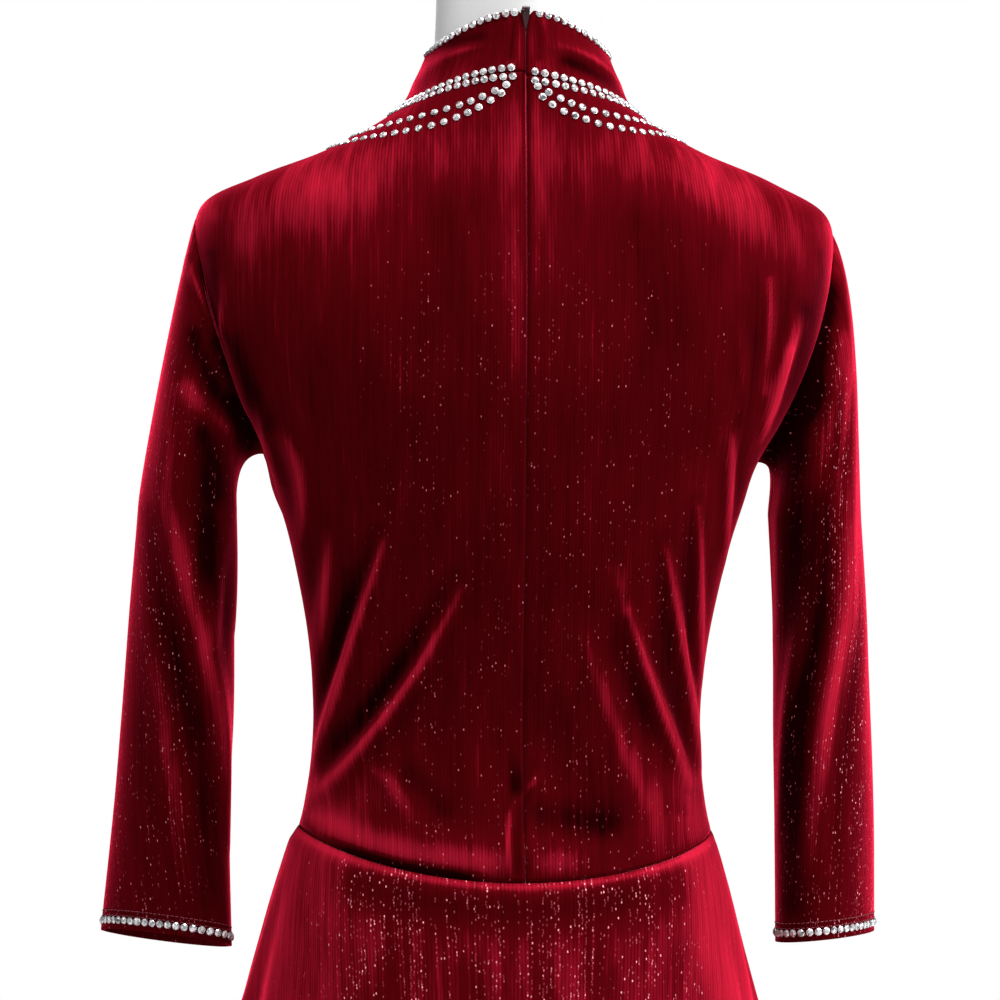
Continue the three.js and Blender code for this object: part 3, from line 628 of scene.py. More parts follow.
def scaled(tree, a, gain, base, clamp=False):
    """base + gain * a"""
    return sums(tree, "MULTIPLY_ADD", a, gain, base, clamp)


def mixed(tree, factor, a, b):
    """A colour between two. The mix node's sockets 6 and 7 are its colours, and its output 2 is theirs."""
    return node(tree, "ShaderNodeMix", {0: factor, 6: a, 7: b}, data_type="RGBA").outputs[2]


def white_noise(tree, at):
    """A random number from 0 to 1 for each whole number."""
    return node(tree, "ShaderNodeTexWhiteNoise", {"W": at}, noise_dimensions="1D").outputs[0]


def soft_noise(tree, flat, across, along, **settings):
    """Noise over the flat cloth, with so many changes in a metre across and along it."""
    scale = {0: flat, 1: (across, along, 1)}
    place = node(tree, "ShaderNodeVectorMath", scale, operation="MULTIPLY").outputs[0]
    noise = {"Vector": place, "Scale": 1.0, **settings}
    return node(tree, "ShaderNodeTexNoise", noise, noise_dimensions="2D").outputs[0]


def new_group(name, inputs, outputs):
    tree = bpy.data.node_groups.new(name, "ShaderNodeTree")
    for title, kind, value in inputs:
        made = tree.interface.new_socket(title, in_out="INPUT", socket_type=kind)
        if value is not None:
            made.default_value = value
    for title, kind in outputs:
        tree.interface.new_socket(title, in_out="OUTPUT", socket_type=kind)
    return tree, tree.nodes.new("NodeGroupInput").outputs, tree.nodes.new("NodeGroupOutput").inputs


def rib_group():
    """Fine uneven ribs along the cloth's length with soft streaks: their height, how light each place is,
    and the count of ribs from the cloth's middle."""
    tree, given, out = new_group(
        "velvet ribs",
        [("Flat", "NodeSocketVector", None), ("Pitch", "NodeSocketFloat", 0.002)],
        [(name, "NodeSocketFloat") for name in ("Height", "Rib", "Streak", "Cloud", "Count")],
    )
    flat = given["Flat"]
    split = node(tree, "ShaderNodeSeparateXYZ", {0: flat}).outputs
    shift = scaled(tree, soft_noise(tree, flat, 90, 22, Detail=1.0), 0.0011, -0.00055)
    count = sums(tree, "DIVIDE", sums(tree, "ADD", split["X"], shift), given["Pitch"])
    rib = sums(tree, "ABSOLUTE", sums(tree, "SINE", times(tree, count, math.pi)))
    each = white_noise(tree, sums(tree, "FLOOR", count))
    streak = soft_noise(tree, flat, 340, 20, Detail=3.0, Roughness=0.6)
    height = times(tree, sums(tree, "POWER", rib, 0.6), scaled(tree, each, 0.5, 0.5))
    results = {
        "Height": scaled(tree, streak, 0.6, height),
        "Rib": rib,
        "Streak": scaled(tree, each, 0.16, sums(tree, "SUBTRACT", streak, 0.58)),
        "Cloud": sums(tree, "SUBTRACT", soft_noise(tree, flat, 60, 14, Detail=3.0), 0.5),
        "Count": count,
    }
    for name, value in results.items():
        tree.links.new(value, out[name])
    return tree


def glitter_group():
    """Glitter threads between the ribs, broken into short dashes with painted glints: their brightness, from
    0 to 1.
    """
    tree, given, out = new_group(
        "glitter",
        [
            ("Flat", "NodeSocketVector", None),
            ("Count", "NodeSocketFloat", 0.0),
            ("Share", "NodeSocketFloat", 0.1),
        ],
        [("Speck", "NodeSocketFloat")],
    )
    column = sums(tree, "FLOOR", given["Count"])
    thread = white_noise(tree, column)
    along = node(tree, "ShaderNodeSeparateXYZ", {0: given["Flat"]}).outputs["Y"]
    along = scaled(tree, along, 640.0, times(tree, thread, 17.0))
    cell = node(tree, "ShaderNodeCombineXYZ", {0: column, 1: sums(tree, "FLOOR", along)}).outputs[0]
    dice = node(tree, "ShaderNodeTexWhiteNoise", {"Vector": cell}, noise_dimensions="2D").outputs["Color"]
    dice = node(tree, "ShaderNodeSeparateColor", {0: dice}).outputs
    slow = soft_noise(tree, given["Flat"], 90, 24, Detail=2.0)
    share = scaled(tree, slow, 4.0, -1.1, clamp=True)
    share = times(tree, share, scaled(tree, thread, 2.2, 0.1))
    lucky = sums(tree, "LESS_THAN", dice[0], times(tree, share, given["Share"]))
    middle = scaled(tree, dice[1], 0.4, 0.3)
    beside = sums(tree, "ABSOLUTE", sums(tree, "SUBTRACT", sums(tree, "FRACT", given["Count"]), middle))
    beyond = sums(tree, "ABSOLUTE", sums(tree, "SUBTRACT", sums(tree, "FRACT", along), 0.5))
    near = scaled(tree, beside, -8.0, 1.75, clamp=True)
    near = times(tree, near, scaled(tree, beyond, -5.0, 2.4, clamp=True))
    # A few dashes are much brighter than the rest: painted glints.
    bright = scaled(tree, sums(tree, "POWER", dice[2], 4.0), 0.7, 0.12)
    bright = times(tree, bright, scaled(tree, given["Share"], 2.4, 0.45, clamp=True))
    tree.links.new(times(tree, times(tree, lucky, near), bright), out["Speck"])
    return tree


RIBS, GLITTER = rib_group(), glitter_group()
# The velvet's colour runs from DEEP, where painted shade is darkest, through MID to BRIGHT, where painted
# light is strongest.
DEEP, MID, BRIGHT = (0.006, 0.0001, 0.0002, 1), (0.062, 0.0007, 0.0022, 1), (0.38, 0.008, 0.026, 1)
# The glitter's own pink, then the whiter colour of its painted glints.
GLITTER_COLOUR, GLINT = (0.8, 0.09, 0.15, 1), (0.9, 0.5, 0.54, 1)


def new_material(name):
    material = bpy.data.materials.new(name)
    material.use_nodes = True
    tree = material.node_tree
    return material, tree, next(n for n in tree.nodes if n.type == "BSDF_PRINCIPLED")


def grain(tree, shader, height, strength, distance):
    """Raises the surface's fine grain."""
    raised = node(tree, "ShaderNodeBump", {"Strength": strength, "Distance": distance, "Height": height})
    tree.links.new(raised.outputs[0], shader.inputs["Normal"])


# How light the velvet's colour is made by its base, its random streaks and clouds, the painted light and
# shade, and its ribs.
VELVET_LIGHT = {"base": 0.43, "streak": 0.28, "cloud": 0.3, "painted_light": 0.42, "rib": 0.16, "between": 0.89}


def velvet_finish():
    material, tree, shader = new_material("ribbed velvet")
    flat = node(tree, "ShaderNodeUVMap", uv_map="cloth").outputs[0]
    painted_light, share = (
        node(tree, "ShaderNodeAttribute", attribute_name=name, attribute_type="GEOMETRY").outputs["Fac"]
        for name in ("painted_light", "sparkle")
    )
    ribs = node(tree, "ShaderNodeGroup", {"Flat": flat}, node_tree=RIBS).outputs
    glitter = {"Flat": flat, "Count": ribs["Count"], "Share": share}
    speck = node(tree, "ShaderNodeGroup", glitter, node_tree=GLITTER).outputs["Speck"]
    # The random streaks and clouds and the painted light and shade set how light the velvet's colour is.
    light = scaled(tree, ribs["Streak"], VELVET_LIGHT["streak"], VELVET_LIGHT["base"])
    light = scaled(tree, ribs["Cloud"], VELVET_LIGHT["cloud"], light)
    light = scaled(tree, painted_light, VELVET_LIGHT["painted_light"], light, clamp=True)
    # The grooves between the ribs are painted a little darker, as shade, along with the ribs' bump.
    rib_shade = scaled(tree, ribs["Rib"], VELVET_LIGHT["rib"], VELVET_LIGHT["between"])
    light = times(tree, light, rib_shade, clamp=True)
    low = mixed(tree, times(tree, light, 2.0, clamp=True), DEEP, MID)
    colour = mixed(tree, scaled(tree, light, 2.0, -1.0, clamp=True), low, BRIGHT)
    glitter_and_glint = mixed(tree, speck, GLITTER_COLOUR, GLINT)
    velvet = {
        "Base Color": mixed(tree, speck, colour, glitter_and_glint),
        # The glitter dashes glow a little, a painted glint.
        "Emission Color": mixed(tree, speck, (0, 0, 0, 1), glitter_and_glint),
        "Emission Strength": 0.12,
        "Roughness": 0.7,
        "Specular IOR Level": 0.0,
        "Sheen Weight": 1.0,
        "Sheen Roughness": 0.3,
        "Sheen Tint": (1.0, 0.025, 0.08, 1),
    }
    feed(tree, shader, velvet)
    grain(tree, shader, ribs["Height"], 0.22, 0.0007)
    return material


# Which of a texture's outputs is used.
TEXTURE_OUTPUT = {"Noise": 0, "Voronoi": "Color", "Wave": "Fac"}


def texture(kind, stretch=None, **inputs):
    """A pattern over a piece, as a function of a material's node tree. stretch: its scale along each axis."""

    def pattern(tree):
        place = node(tree, "ShaderNodeTexCoord").outputs["Object"]
        if stretch:
            place = node(tree, "ShaderNodeMapping", {"Vector": place, "Scale": stretch}).outputs[0]
        made = node(tree, "ShaderNodeTex" + kind, {"Vector": place, **inputs})
        if kind == "Wave":
            made.bands_direction = "DIAGONAL"
        return made.outputs[TEXTURE_OUTPUT[kind]]

    return pattern


def facet_reflections(tree):
    """A random light or dark shade in each small cell of a stone: painted reflections in its facets."""
    cells = texture("Voronoi", Scale=560.0)(tree)
    return sums(tree, "POWER", node(tree, "ShaderNodeSeparateColor", {0: cells}).outputs[0], 0.6)


def two_tone(name, pattern, dark, light, shine, relief=None, fine=None):
    """A finish between two colours by a pattern. shine: its other inputs, where a pair is how much the
    pattern adds and what to. relief: the strength and depth of its grain, which is the pattern unless
    fine gives another."""
    material, tree, shader = new_material(name)
    factor = pattern(tree)
    feed(tree, shader, {"Base Color": mixed(tree, factor, (*dark, 1), (*light, 1))})
    for title, value in shine.items():
        made = scaled(tree, factor, *value) if isinstance(value, tuple) else value
        feed(tree, shader, {title: made})
    if relief:
        grain(tree, shader, fine(tree) if fine else factor, *relief)
    return material


def brushed_steel(name, stretch):
    """Steel with fine scratches. stretch sets which way the brushing runs."""
    lines = texture("Noise", stretch, Scale=1.0, Detail=5.0, Roughness=0.7)
    shine = {"Metallic": 1.0, "Roughness": (0.25, 0.22)}
    return two_tone(name, lines, (0.5, 0.51, 0.53), (0.72, 0.73, 0.75), shine, (0.25, 0.0002))


SHELL = two_tone(
    "white shell",
    texture("Noise", Scale=9.0, Detail=4.0),
    (0.57, 0.57, 0.575),
    (0.64, 0.64, 0.64),
    {"Roughness": (0.2, 0.38)},
    (0.1, 0.0003),
    texture("Noise", Scale=900.0, Detail=2.0),
)
LACQUER = two_tone(
    "plum lacquer",
    texture("Noise", Scale=700.0, Detail=3.0),
    (0.01, 0.002, 0.003),
    (0.045, 0.011, 0.014),
    {"Roughness": (0.3, 0.2), "Specular IOR Level": 0.25},
    (0.15, 0.0001),
)
TAPE = two_tone(
    "zip tape",
    texture("Wave", (1500, 1500, 1500), Scale=0.6, Distortion=0.6),
    (0.03, 0.002, 0.005),
    (0.09, 0.006, 0.012),
    {"Roughness": 0.85},
    (0.4, 0.0002),
)
# The stones' cells go from dark to light at random, as painted reflections in their facets.
STONE = two_tone(
    "rhinestone",
    facet_reflections,
    (0.09, 0.085, 0.09),
    (0.7, 0.69, 0.71),
    {"Metallic": 0.45, "Roughness": (0.15, 0.1), "Coat Weight": 0.5},
)
THREAD = two_tone(
    "red thread",
    texture("Wave", Scale=900.0),
    (0.05, 0.001, 0.005),
    (0.2, 0.004, 0.02),
    {"Roughness": 0.5},
    (0.3, 0.0001),
)
VELVET = velvet_finish()


# ---- The bodice ----
# The shares of a panel's rows below the armpit, beside the armhole and along the shoulder.
LOW, UP, TOP = 0.46, 0.3, 0.24
TOP_GAP = 0.007
SEAM_DEPTH = {"waist": 0.3, "neck": 0.12}
# The share of the places for glitter that have a dash where it is densest, and the height below which it
# sets in.
GLITTER_SHARE = {"bodice": 0.06, "left": 0.11, "right": 0.2, "skirt": 0.34}
GLITTER_TOP = {"from": -70, "over": 90}
# A dent, painted a little darker, a band of painted light and a groove with a painted shadow line, which the
# roll over the waist seam makes on the back.
DENT = {"x": -42, "wide": 26, "height": -449, "tall": 13}
PAINTED_BAND = {"above": 12, "tall": 8, "from_x": -8, "second_x": -24, "second_wide": 17}
SHADOWED_TUCK = {"above": 1.8, "tall": 3.2, "from_x": 12, "to_x": 118}


def bodice_level(angle, t):
    if t <= LOW:
        return lerp(level_at(seam_height(angle) + SEAM_GAP / 2), ARMPIT, t / LOW)
    up = (t - LOW) / UP
    if up <= 1:
        return ARMPIT + (TIP - ARMPIT) * (0.5 - 0.5 * math.cos(math.pi * up))
    return lerp(TIP, neck_seam(angle) - TOP_GAP, (t - LOW - UP) / TOP)


def panel_place(share, t, back, side):
    """share is 0 at the side seam and 1 at the centre line."""
    rough = round(bodice_level(math.pi / 2, t), 4)
    side_gap, centre_gap = half_gap(rough)
    edge = max(side_gap, armhole(rough, REACH["back" if back else "front"]))
    if back:
        centre = math.pi + side * (centre_back(rough) - math.pi) - centre_gap
        angle = side * lerp(math.pi / 2 + edge, centre, share)
    else:
        angle = side * lerp(math.pi / 2 - edge, 0, share)
    return angle, bodice_level(angle, t)


def zip_seam(height):
    """The centre back seam is drawn in deeper, with more painted shade, along the zip's upper part."""
    return lerp(0.25, 0.9, ease((height + 240) / 90)) + 0.7 * ease((height + 90) / 70)


def bodice_glitter(point, edge, over, middle=0):
    down = ease((GLITTER_TOP["from"] - point.z + NAPE) / GLITTER_TOP["over"])
    return GLITTER_SHARE["bodice"] * down * ease((edge - abs(point.x - middle)) / over)


def back_relief(point, s, t):
    lift, painted_light = creased(BACK_CREASES, BACK_PAINTED_LIGHT, point)
    pulled, armhole_painted_light = creased(ARMHOLE_CREASES, ARMHOLE_PAINTED_LIGHT, point)
    x, height = point.x, point.z - NAPE
    inside = ease(point.y / 22)
    dent = bump(x - DENT["x"], DENT["wide"]) * bump(height - DENT["height"], DENT["tall"])
    above = height - seam_height(math.atan2(x / 124, -point.y / 78))
    second = bump(x - PAINTED_BAND["second_x"], PAINTED_BAND["second_wide"])
    painted_band = bump(above - PAINTED_BAND["above"], PAINTED_BAND["tall"]) * (ease((x - PAINTED_BAND["from_x"]) / 30) + 0.7 * second)
    tuck_and_shade = ease((x - SHADOWED_TUCK["from_x"]) / 30) * ease((SHADOWED_TUCK["to_x"] - x) / 30)
    tuck_and_shade *= bump(above - SHADOWED_TUCK["above"], SHADOWED_TUCK["tall"])
    lift += pulled - 1.4 * dent - 1.5 * tuck_and_shade
    # The band is painted light, the tuck's line a painted shadow and the dent painted a little darker.
    painted_light += armhole_painted_light + 0.95 * painted_band - 3.4 * tuck_and_shade - 0.25 * dent
    return lift * inside, painted_light * inside, bodice_glitter(point, 128, 60, -12)


def front_relief(point, s, t):
    lift, painted_light = creased(FRONT_CREASES, [], point)
    inside = ease((2 - point.y) / 22)
    return lift * inside, painted_light * inside, bodice_glitter(point, 150, 70)


def make_bodice():
    ends = SEAM_DEPTH["waist"], SEAM_DEPTH["neck"]
    made = {}
    for end, side in SIDES.items():
        place = lambda s, t, side=side: panel_place(s if side > 0 else 1 - s, t, True, side)
        centre = 1 if side > 0 else 0
        seams = (0, zip_seam, *ends) if side > 0 else (zip_seam, 0, *ends)
        name = f"bodice_back_{end}"
        made[name] = lay_cloth(name, (100, 220), bodice, place, back_relief, seams, centre)

    def across(s, t):
        turn = 2 * s - 1
        return panel_place(1 - abs(turn), t, False, math.copysign(1, turn))

    made["bodice_front"] = lay_cloth("bodice_front", (170, 200), bodice, across, front_relief, (0, 0, *ends))
    return made


# ---- The collar ----
# The notch at the centre back: the share of the collar's height, and half the gap there.
NOTCH = ((0, 0.15), (0.35, 0.15), (0.62, 0.2), (0.7, 0.8), (0.8, 1.6), (0.91, 2.7), (1, 5.2))
COLLAR_CUT = {"length": 0.43, "height": 0.058}


def notch_half(up):
    for (low, a), (high, b) in zip(NOTCH, NOTCH[1:]):
        if up <= high:
            return lerp(a, b, (up - low) / (high - low))
    return NOTCH[-1][1]


def collar_place(s, t):
    turn = 2 * s - 1
    edge = math.pi - gap_angle(math.pi, lerp(NECK_SEAM, COLLAR_TOP, t), 2 * notch_half(t))
    angle = edge * turn
    return angle, lerp(neck_seam(angle) + TOP_GAP, COLLAR_TOP, t)


def collar_relief(point, s, t):
    ripple = 0.35 * math.sin(34 * s + 2.2 * math.sin(5 * s)) * math.sin(math.pi * t)
    behind = ease(point.y / 14)
    lift, painted_light = creased(COLLAR_CREASES, COLLAR_PAINTED_SHADE, point)
    # The ripples are painted lighter on their crests and darker in their troughs.
    return ripple + behind * lift, 0.15 + 0.25 * ripple + behind * painted_light, 0.0


def make_collar():
    def flat(s, t):
        return COLLAR_CUT["length"] * (s - 0.5), COLLAR_CUT["height"] * t

    seams = (0.9, 0.9, 0.15, 0)
    return lay_cloth("collar", (240, 30), torso, collar_place, collar_relief, seams, flat=flat)


# ---- The sleeves ----
HEAD = 0.36  # the share of a sleeve's length between the armhole and its first ring
SLEEVE_ROUND = 0.262


def make_sleeve(name):
    side, rows, drawn = SIDES[name], SLEEVES[name], sleeve(name)

    def surface(place, along):
        point = drawn(place, along)
        point.x *= side
        return point

    def place(s, t):
        turn = 2 * math.pi * (1 - s if side > 0 else s)
        down = 1 - t
        along = down / HEAD if down < HEAD else 1 + (down - HEAD) / (1 - HEAD) * (len(rows) - 1)
        return math.pi + turn, along

    def lifted(point, turn, along):
        lift = painted_light = 0.0
        for crease in SLEEVE_CREASES[name]:
            share = (along - crease["from"]) / (crease["to"] - crease["from"])
            if not 0 < share < 1:
                continue
            middle = math.radians(lerp(*crease["at"], share))
            apart = math.atan2(math.sin(turn - middle), math.cos(turn - middle))
            fade = math.sin(math.pi * share) ** 0.7
            crest = bump(apart, crease["wide"])
            hollow = bump(abs(apart) - 1.9 * crease["wide"], crease["wide"])
            lift += crease["rise"] * fade * (crest - 0.25 * hollow)
            # The crest gets a painted highlight and the hollows beside it painted shade.
            painted_light += min(1, crease["rise"] / 4) * fade * (bump(apart, 0.7 * crease["wide"]) - 0.6 * hollow)
        behind = ease((point.y + 6) / 24)
        pulled, armhole_painted_light = creased(ARMHOLE_CREASES, ARMHOLE_PAINTED_LIGHT + SLEEVE_PAINTED_LIGHT[name], point)
        return lift + behind * pulled, painted_light + behind * armhole_painted_light

    def relief(point, s, t):
        dense = ease((NAPE - point.z - 110) / 80) * lerp(0.35, 1, ease((abs(point.x) - 175) / 30))
        return *lifted(point, *place(s, t)), GLITTER_SHARE[name] * dense

    def outside(turn, along):
        """A point on the finished cloth."""
        point = surface(turn, along)
        return point + normal_of(surface, turn, along) * side * lifted(point, turn, along)[0]

    node_name = f"sleeve_{name}"
    laid = lay_cloth(node_name, (116, 200), surface, place, relief, (0, 0, 0, 0), round_it=SLEEVE_ROUND)
    return *laid, outside


# ---- The skirt ----
SECTOR = {"radius": 0.378, "spread": 0.952, "length": 0.26}
SKIRT_RADIUS = 140
SKIRT_LIP = {"below": 2.6, "tall": 2.2}
SKIRT_SHADE = {"below": 15, "tall": 13}
SKIRT_RIPPLE = 1.2
# How much painted light the skirt's sides get, on the wearer's left and right.
SIDE_PAINTED_LIGHT = {"left": 0.35, "right": 0.6}


def make_skirt(back):
    gap = SEAM_GAP / 2 / SKIRT_RADIUS
    start = math.pi / 2 + gap if back else -math.pi / 2 + gap

    def place(s, t):
        return lerp(start, start + math.pi - 2 * gap, s), t

    def flat(s, t):
        reach = SECTOR["radius"] + SECTOR["length"] * (1 - t)
        turn = SECTOR["spread"] * (s - 0.5)
        return reach * math.sin(turn), -reach * math.cos(turn)

    def relief(point, s, t):
        angle = place(s, t)[0]
        drop = seam_height(angle) - (point.z - NAPE)
        lip = bump(drop - SKIRT_LIP["below"], SKIRT_LIP["tall"])
        middle = bump(abs(math.cos(angle)) - 1, 0.3)
        shade = bump(drop - SKIRT_SHADE["below"], SKIRT_SHADE["tall"]) * middle
        sides = ease((0.86 - abs(math.cos(angle))) / 0.3) * SIDE_PAINTED_LIGHT["left" if point.x > 0 else "right"]
        ripple = SKIRT_RIPPLE * math.sin(19 * angle + 1.3 * math.sin(4 * angle))
        soft = ripple * ease(drop / 60) * ease((1 - t) * 3)
        # Painted light overall, on the lip and on the sides, a painted shadow below the waist seam and
        # painted highlights on the ripples.
        painted_light = 0.25 + 0.8 * lip - 0.65 * shade + sides + 0.1 * soft
        sparkle = GLITTER_SHARE["skirt"] * middle * (0.45 + 0.55 * ease(abs(point.x) / 25))
        return 0.5 * lip + soft, painted_light, sparkle

    name = "skirt_back" if back else "skirt_front"
    return lay_cloth(name, (240, 108), skirt, place, relief, (0.3, 0.3, 0, 0), flat=flat)


# ---- The dress form and its stand ----
FORM_COLUMNS = 128
FORM_EDGE = {"rings": 4, "round": 6, "rise": 5}


def make_form():
    """The form's shell: the torso drawn in, its neck and its flat ends, all one closed skin."""
    levels = [k / 6 for k in range(0, 13 * 6 + 1)] + [13.2, 13.45, 13.7, 14, 14.3, 14.65, 15]
    necks = [k / 6 for k in range(0, 25)]
    rows = len(levels) + len(necks) + FORM_EDGE["rings"] - 1

    def shell(angle, level):
        shoulder = ease((level - TIP + 0.35) / 1.2) * math.sin(angle) ** 8
        slack = lerp(EASE["centre"], EASE["side"], math.sin(angle) ** 2)
        depth = EASE["wall"] + lerp(slack, EASE["shoulder"], shoulder)
        return torso(angle, level) - normal_of(torso, angle, level) * depth

    def ring(j, angle):
        if j < len(levels):
            return shell(angle, levels[j])
        if j < len(levels) + len(necks):
            at = necks[j - len(levels)]
            return ring_point({name: column(FORM_NECK, name, at) for name in RING}, angle)
        drawn = (1 - (rows - j) / FORM_EDGE["rings"]) * math.pi / 2
        top, inset = dict(FORM_NECK[-1]), FORM_EDGE["round"] * (1 - math.cos(drawn))
        top["wide"] -= inset
        top["front_y"] += inset
        top["back_y"] -= inset
        for end in ("side", "front", "back"):
            top[end] += FORM_EDGE["rise"] * math.sin(drawn)
        return ring_point(top, angle)

    bm = bmesh.new()
    bmesh.ops.create_grid(bm, x_segments=FORM_COLUMNS, y_segments=rows, size=0.5)
    for vert in bm.verts:
        i, j = round((vert.co.x + 0.5) * FORM_COLUMNS), round((vert.co.y + 0.5) * rows)
        vert.co = ring(j, 2 * math.pi * i / FORM_COLUMNS) * MM
    bmesh.ops.remove_doubles(bm, verts=bm.verts[:], dist=1e-6)
    bmesh.ops.holes_fill(bm, edges=[edge for edge in bm.edges if edge.is_boundary], sides=0)
    bmesh.ops.recalc_face_normals(bm, faces=bm.faces[:])
    piece = finish_piece("form_shell", bm, SHELL)
    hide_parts("form_torso")
    return piece


def dress_nodes():
    """The solids that keep their shape: the zip and the stand."""
    finishes = {
        "zip_tape": TAPE,
        "zip_slider": LACQUER,
        "zip_pull": LACQUER,
        "form_pole": brushed_steel("drawn steel tube", (40, 40, 2200)),
        "form_plate": brushed_steel("brushed steel plate", (2200, 30, 30)),
    }
    for name, finish in finishes.items():
        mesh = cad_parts[name].data
        mesh.materials.clear()
        mesh.materials.append(finish)


# ---- Rhinestones and stitches ----
# A stone's tiers from its seat to its table: the height and the radius.
STONE_TIERS = ((-0.4, 2.2), (0.45, 2.4), (1.0, 1.9), (1.35, 1.15))
# The rows round the neck: their distance from the neck seam, or none at the collar's top edge, and for
# each side the first stone's distance from the zip and the stones' pitch.
STONE_ROWS = {
    "collar_top": {"distance": None, "left": (6.8, 5.5), "right": (8.5, 5.6)},
    "neck_upper": {"distance": 2.9, "left": (9.0, 5.7), "right": (5.5, 6.1)},
    "neck_lower": {"distance": -2.9, "left": (8.0, 5.8), "right": (5.5, 6.3)},
}
ARC_PITCH = {"left": 7.8, "right": 7.6}
CUFF_STONES = {"up": 9.0, "pitch": 5.35}
STITCHES = {"ups": (12.6, 16.4), "pitch": 3.0, "ahead": 0.6, "length": 2.2, "radius": 0.28}
# The arcs of stones over the yoke from the zip to the shoulder, seen from behind: x, and z from the nape.
STONE_ARCS = {
    "left": {
        "inner": ((12, -3.5), (21, -8.5), (35, -14.5), (49, -19), (67, -23.7), (92, -29.5)),
        "outer": ((15, -8.8), (28, -17.4), (42, -24), (57.5, -29.2), (81, -33.7), (101, -36.5)),
    },
    "right": {
        "inner": ((-7, -4), (-18, -9.6), (-32, -15.2), (-47, -18.7), (-62, -20.7), (-83, -23.5)),
        "outer": ((-10, -10.5), (-21, -18.2), (-34, -22.6), (-50, -26.8), (-73, -29), (-93.5, -30)),
    },
}


def add_cone(bm, foot, head, depth, segments, matrix):
    bmesh.ops.create_cone(
        bm, cap_ends=True, segments=segments, radius1=foot, radius2=head, depth=depth, matrix=matrix
    )


def set_stones(name, places):
    """A row of round cut stones. places are (point, outward normal) in millimetres."""
    bm = bmesh.new()
    spin = random.Random(name)
    for point, normal in places:
        seat = Matrix.Translation(point * MM) @ normal.to_track_quat("Z", "Y").to_matrix().to_4x4()
        seat = seat @ Matrix.Rotation(spin.uniform(0, math.pi), 4, "Z")
        seat = seat @ Matrix.Rotation(spin.uniform(-0.12, 0.12), 4, "X") @ Matrix.Scale(MM, 4)
        for (low, foot), (high, head) in zip(STONE_TIERS, STONE_TIERS[1:]):
            add_cone(bm, foot, head, high - low, 10, seat @ Matrix.Translation((0, 0, (low + high) / 2)))
    return finish_piece(name, bm, STONE, smooth=False)


def spaced(path, pitch, start=0.0, loose=0.0):
    """Places along a path of (point, normal), evenly spaced or a little unevenly as if set by hand."""
    made, due, hand = [], start, random.Random(len(path))
    for (a, n), (b, m) in zip(path, path[1:]):
        length = (b - a).length
        while due <= length:
            t = due / length
            made.append((a.lerp(b, t), n.lerp(m, t).normalized()))
            due += pitch * (1 + hand.uniform(-loose, loose))
        due -= length
    return made


def neck_row(distance):
    """The places round the neck from the centre back by the wearer's left or right, at a distance from the
    neck seam, or from the collar's top edge where the distance is None."""

    def place(turn, side):
        angle = side * (math.pi - turn)
        if distance is None:
            return angle, COLLAR_TOP - 0.13
        seam = neck_seam(angle)
        per_level = (torso(angle, seam + 0.05) - torso(angle, seam - 0.05)).length / 0.1
        return angle, seam + distance / per_level

    return place


def place_on_yoke(x, z, turn, level):
    """The torso's turn from the centre back and its level at a place seen from behind."""
    side = math.copysign(1, x)
    for _ in range(12):
        here = torso(side * (math.pi - turn), level)
        by_turn = (torso(side * (math.pi - turn - STEP), level) - here) / STEP
        by_level = (torso(side * (math.pi - turn), level + STEP) - here) / STEP
        miss_x, miss_z = x - here.x, z + NAPE - here.z
        scale = by_turn.x * by_level.z - by_level.x * by_turn.z
        turn += max(-0.2, min(0.2, (miss_x * by_level.z - by_level.x * miss_z) / scale))
        level += max(-0.5, min(0.5, (by_turn.x * miss_z - miss_x * by_turn.z) / scale))
    return turn, level


def arc_row(points):
    """The places along an arc over the yoke, which the front repeats. points: its places seen from behind."""
    turn, level, knots = 0.2, 15.5, []
    for x, z in points:
        turn, level = place_on_yoke(x, z, turn, level)
        knots.append({"turn": turn, "level": level})
    knots += [{"turn": math.pi - knot["turn"], "level": knot["level"]} for knot in reversed(knots)]
    side = math.copysign(1, points[0][0])
    return lambda share: (
        side * (math.pi - column(knots, "turn", share * (len(knots) - 1))),
        column(knots, "level", share * (len(knots) - 1)),
    )


def on_torso(places):
    return [(torso(*place), normal_of(torso, *place)) for place in places]


def stone_rows():
    steps = 260
    for side, sign in SIDES.items():
        for name, row in STONE_ROWS.items():
            start, pitch = row[side]
            place = neck_row(row["distance"])
            path = on_torso(place(math.pi * k / steps, sign) for k in range(steps + 1))
            places = spaced(path, pitch, start, 0.05)
            set_stones(f"stones_{name}_{side}", [p for p in places if p[0].y > 0 or abs(p[0].x) > 2.5])
        for name, points in STONE_ARCS[side].items():
            arc = arc_row(points)
            path = on_torso(arc(k / steps) for k in range(steps + 1))
            set_stones(f"stones_arc_{name}_{side}", spaced(path, ARC_PITCH[side], 0, 0.07))


def round_the_cuff(surface, rows, up):
    """The places round a sleeve at a distance up from its cuff, as (point, outward normal)."""
    along = len(rows) - up / (rows[-2]["height"] - rows[-1]["height"])
    path = []
    for k in range(161):
        place = 2 * math.pi * k / 160
        across = surface(place + STEP, along) - surface(place - STEP, along)
        down = surface(place, along) - surface(place, along - 0.01)
        path.append((surface(place, along), across.cross(down).normalized()))
    centre = sum((p for p, _ in path), Vector()) / len(path)
    return [(p, n if (p - centre).dot(n) > 0 else -n) for p, n in path]


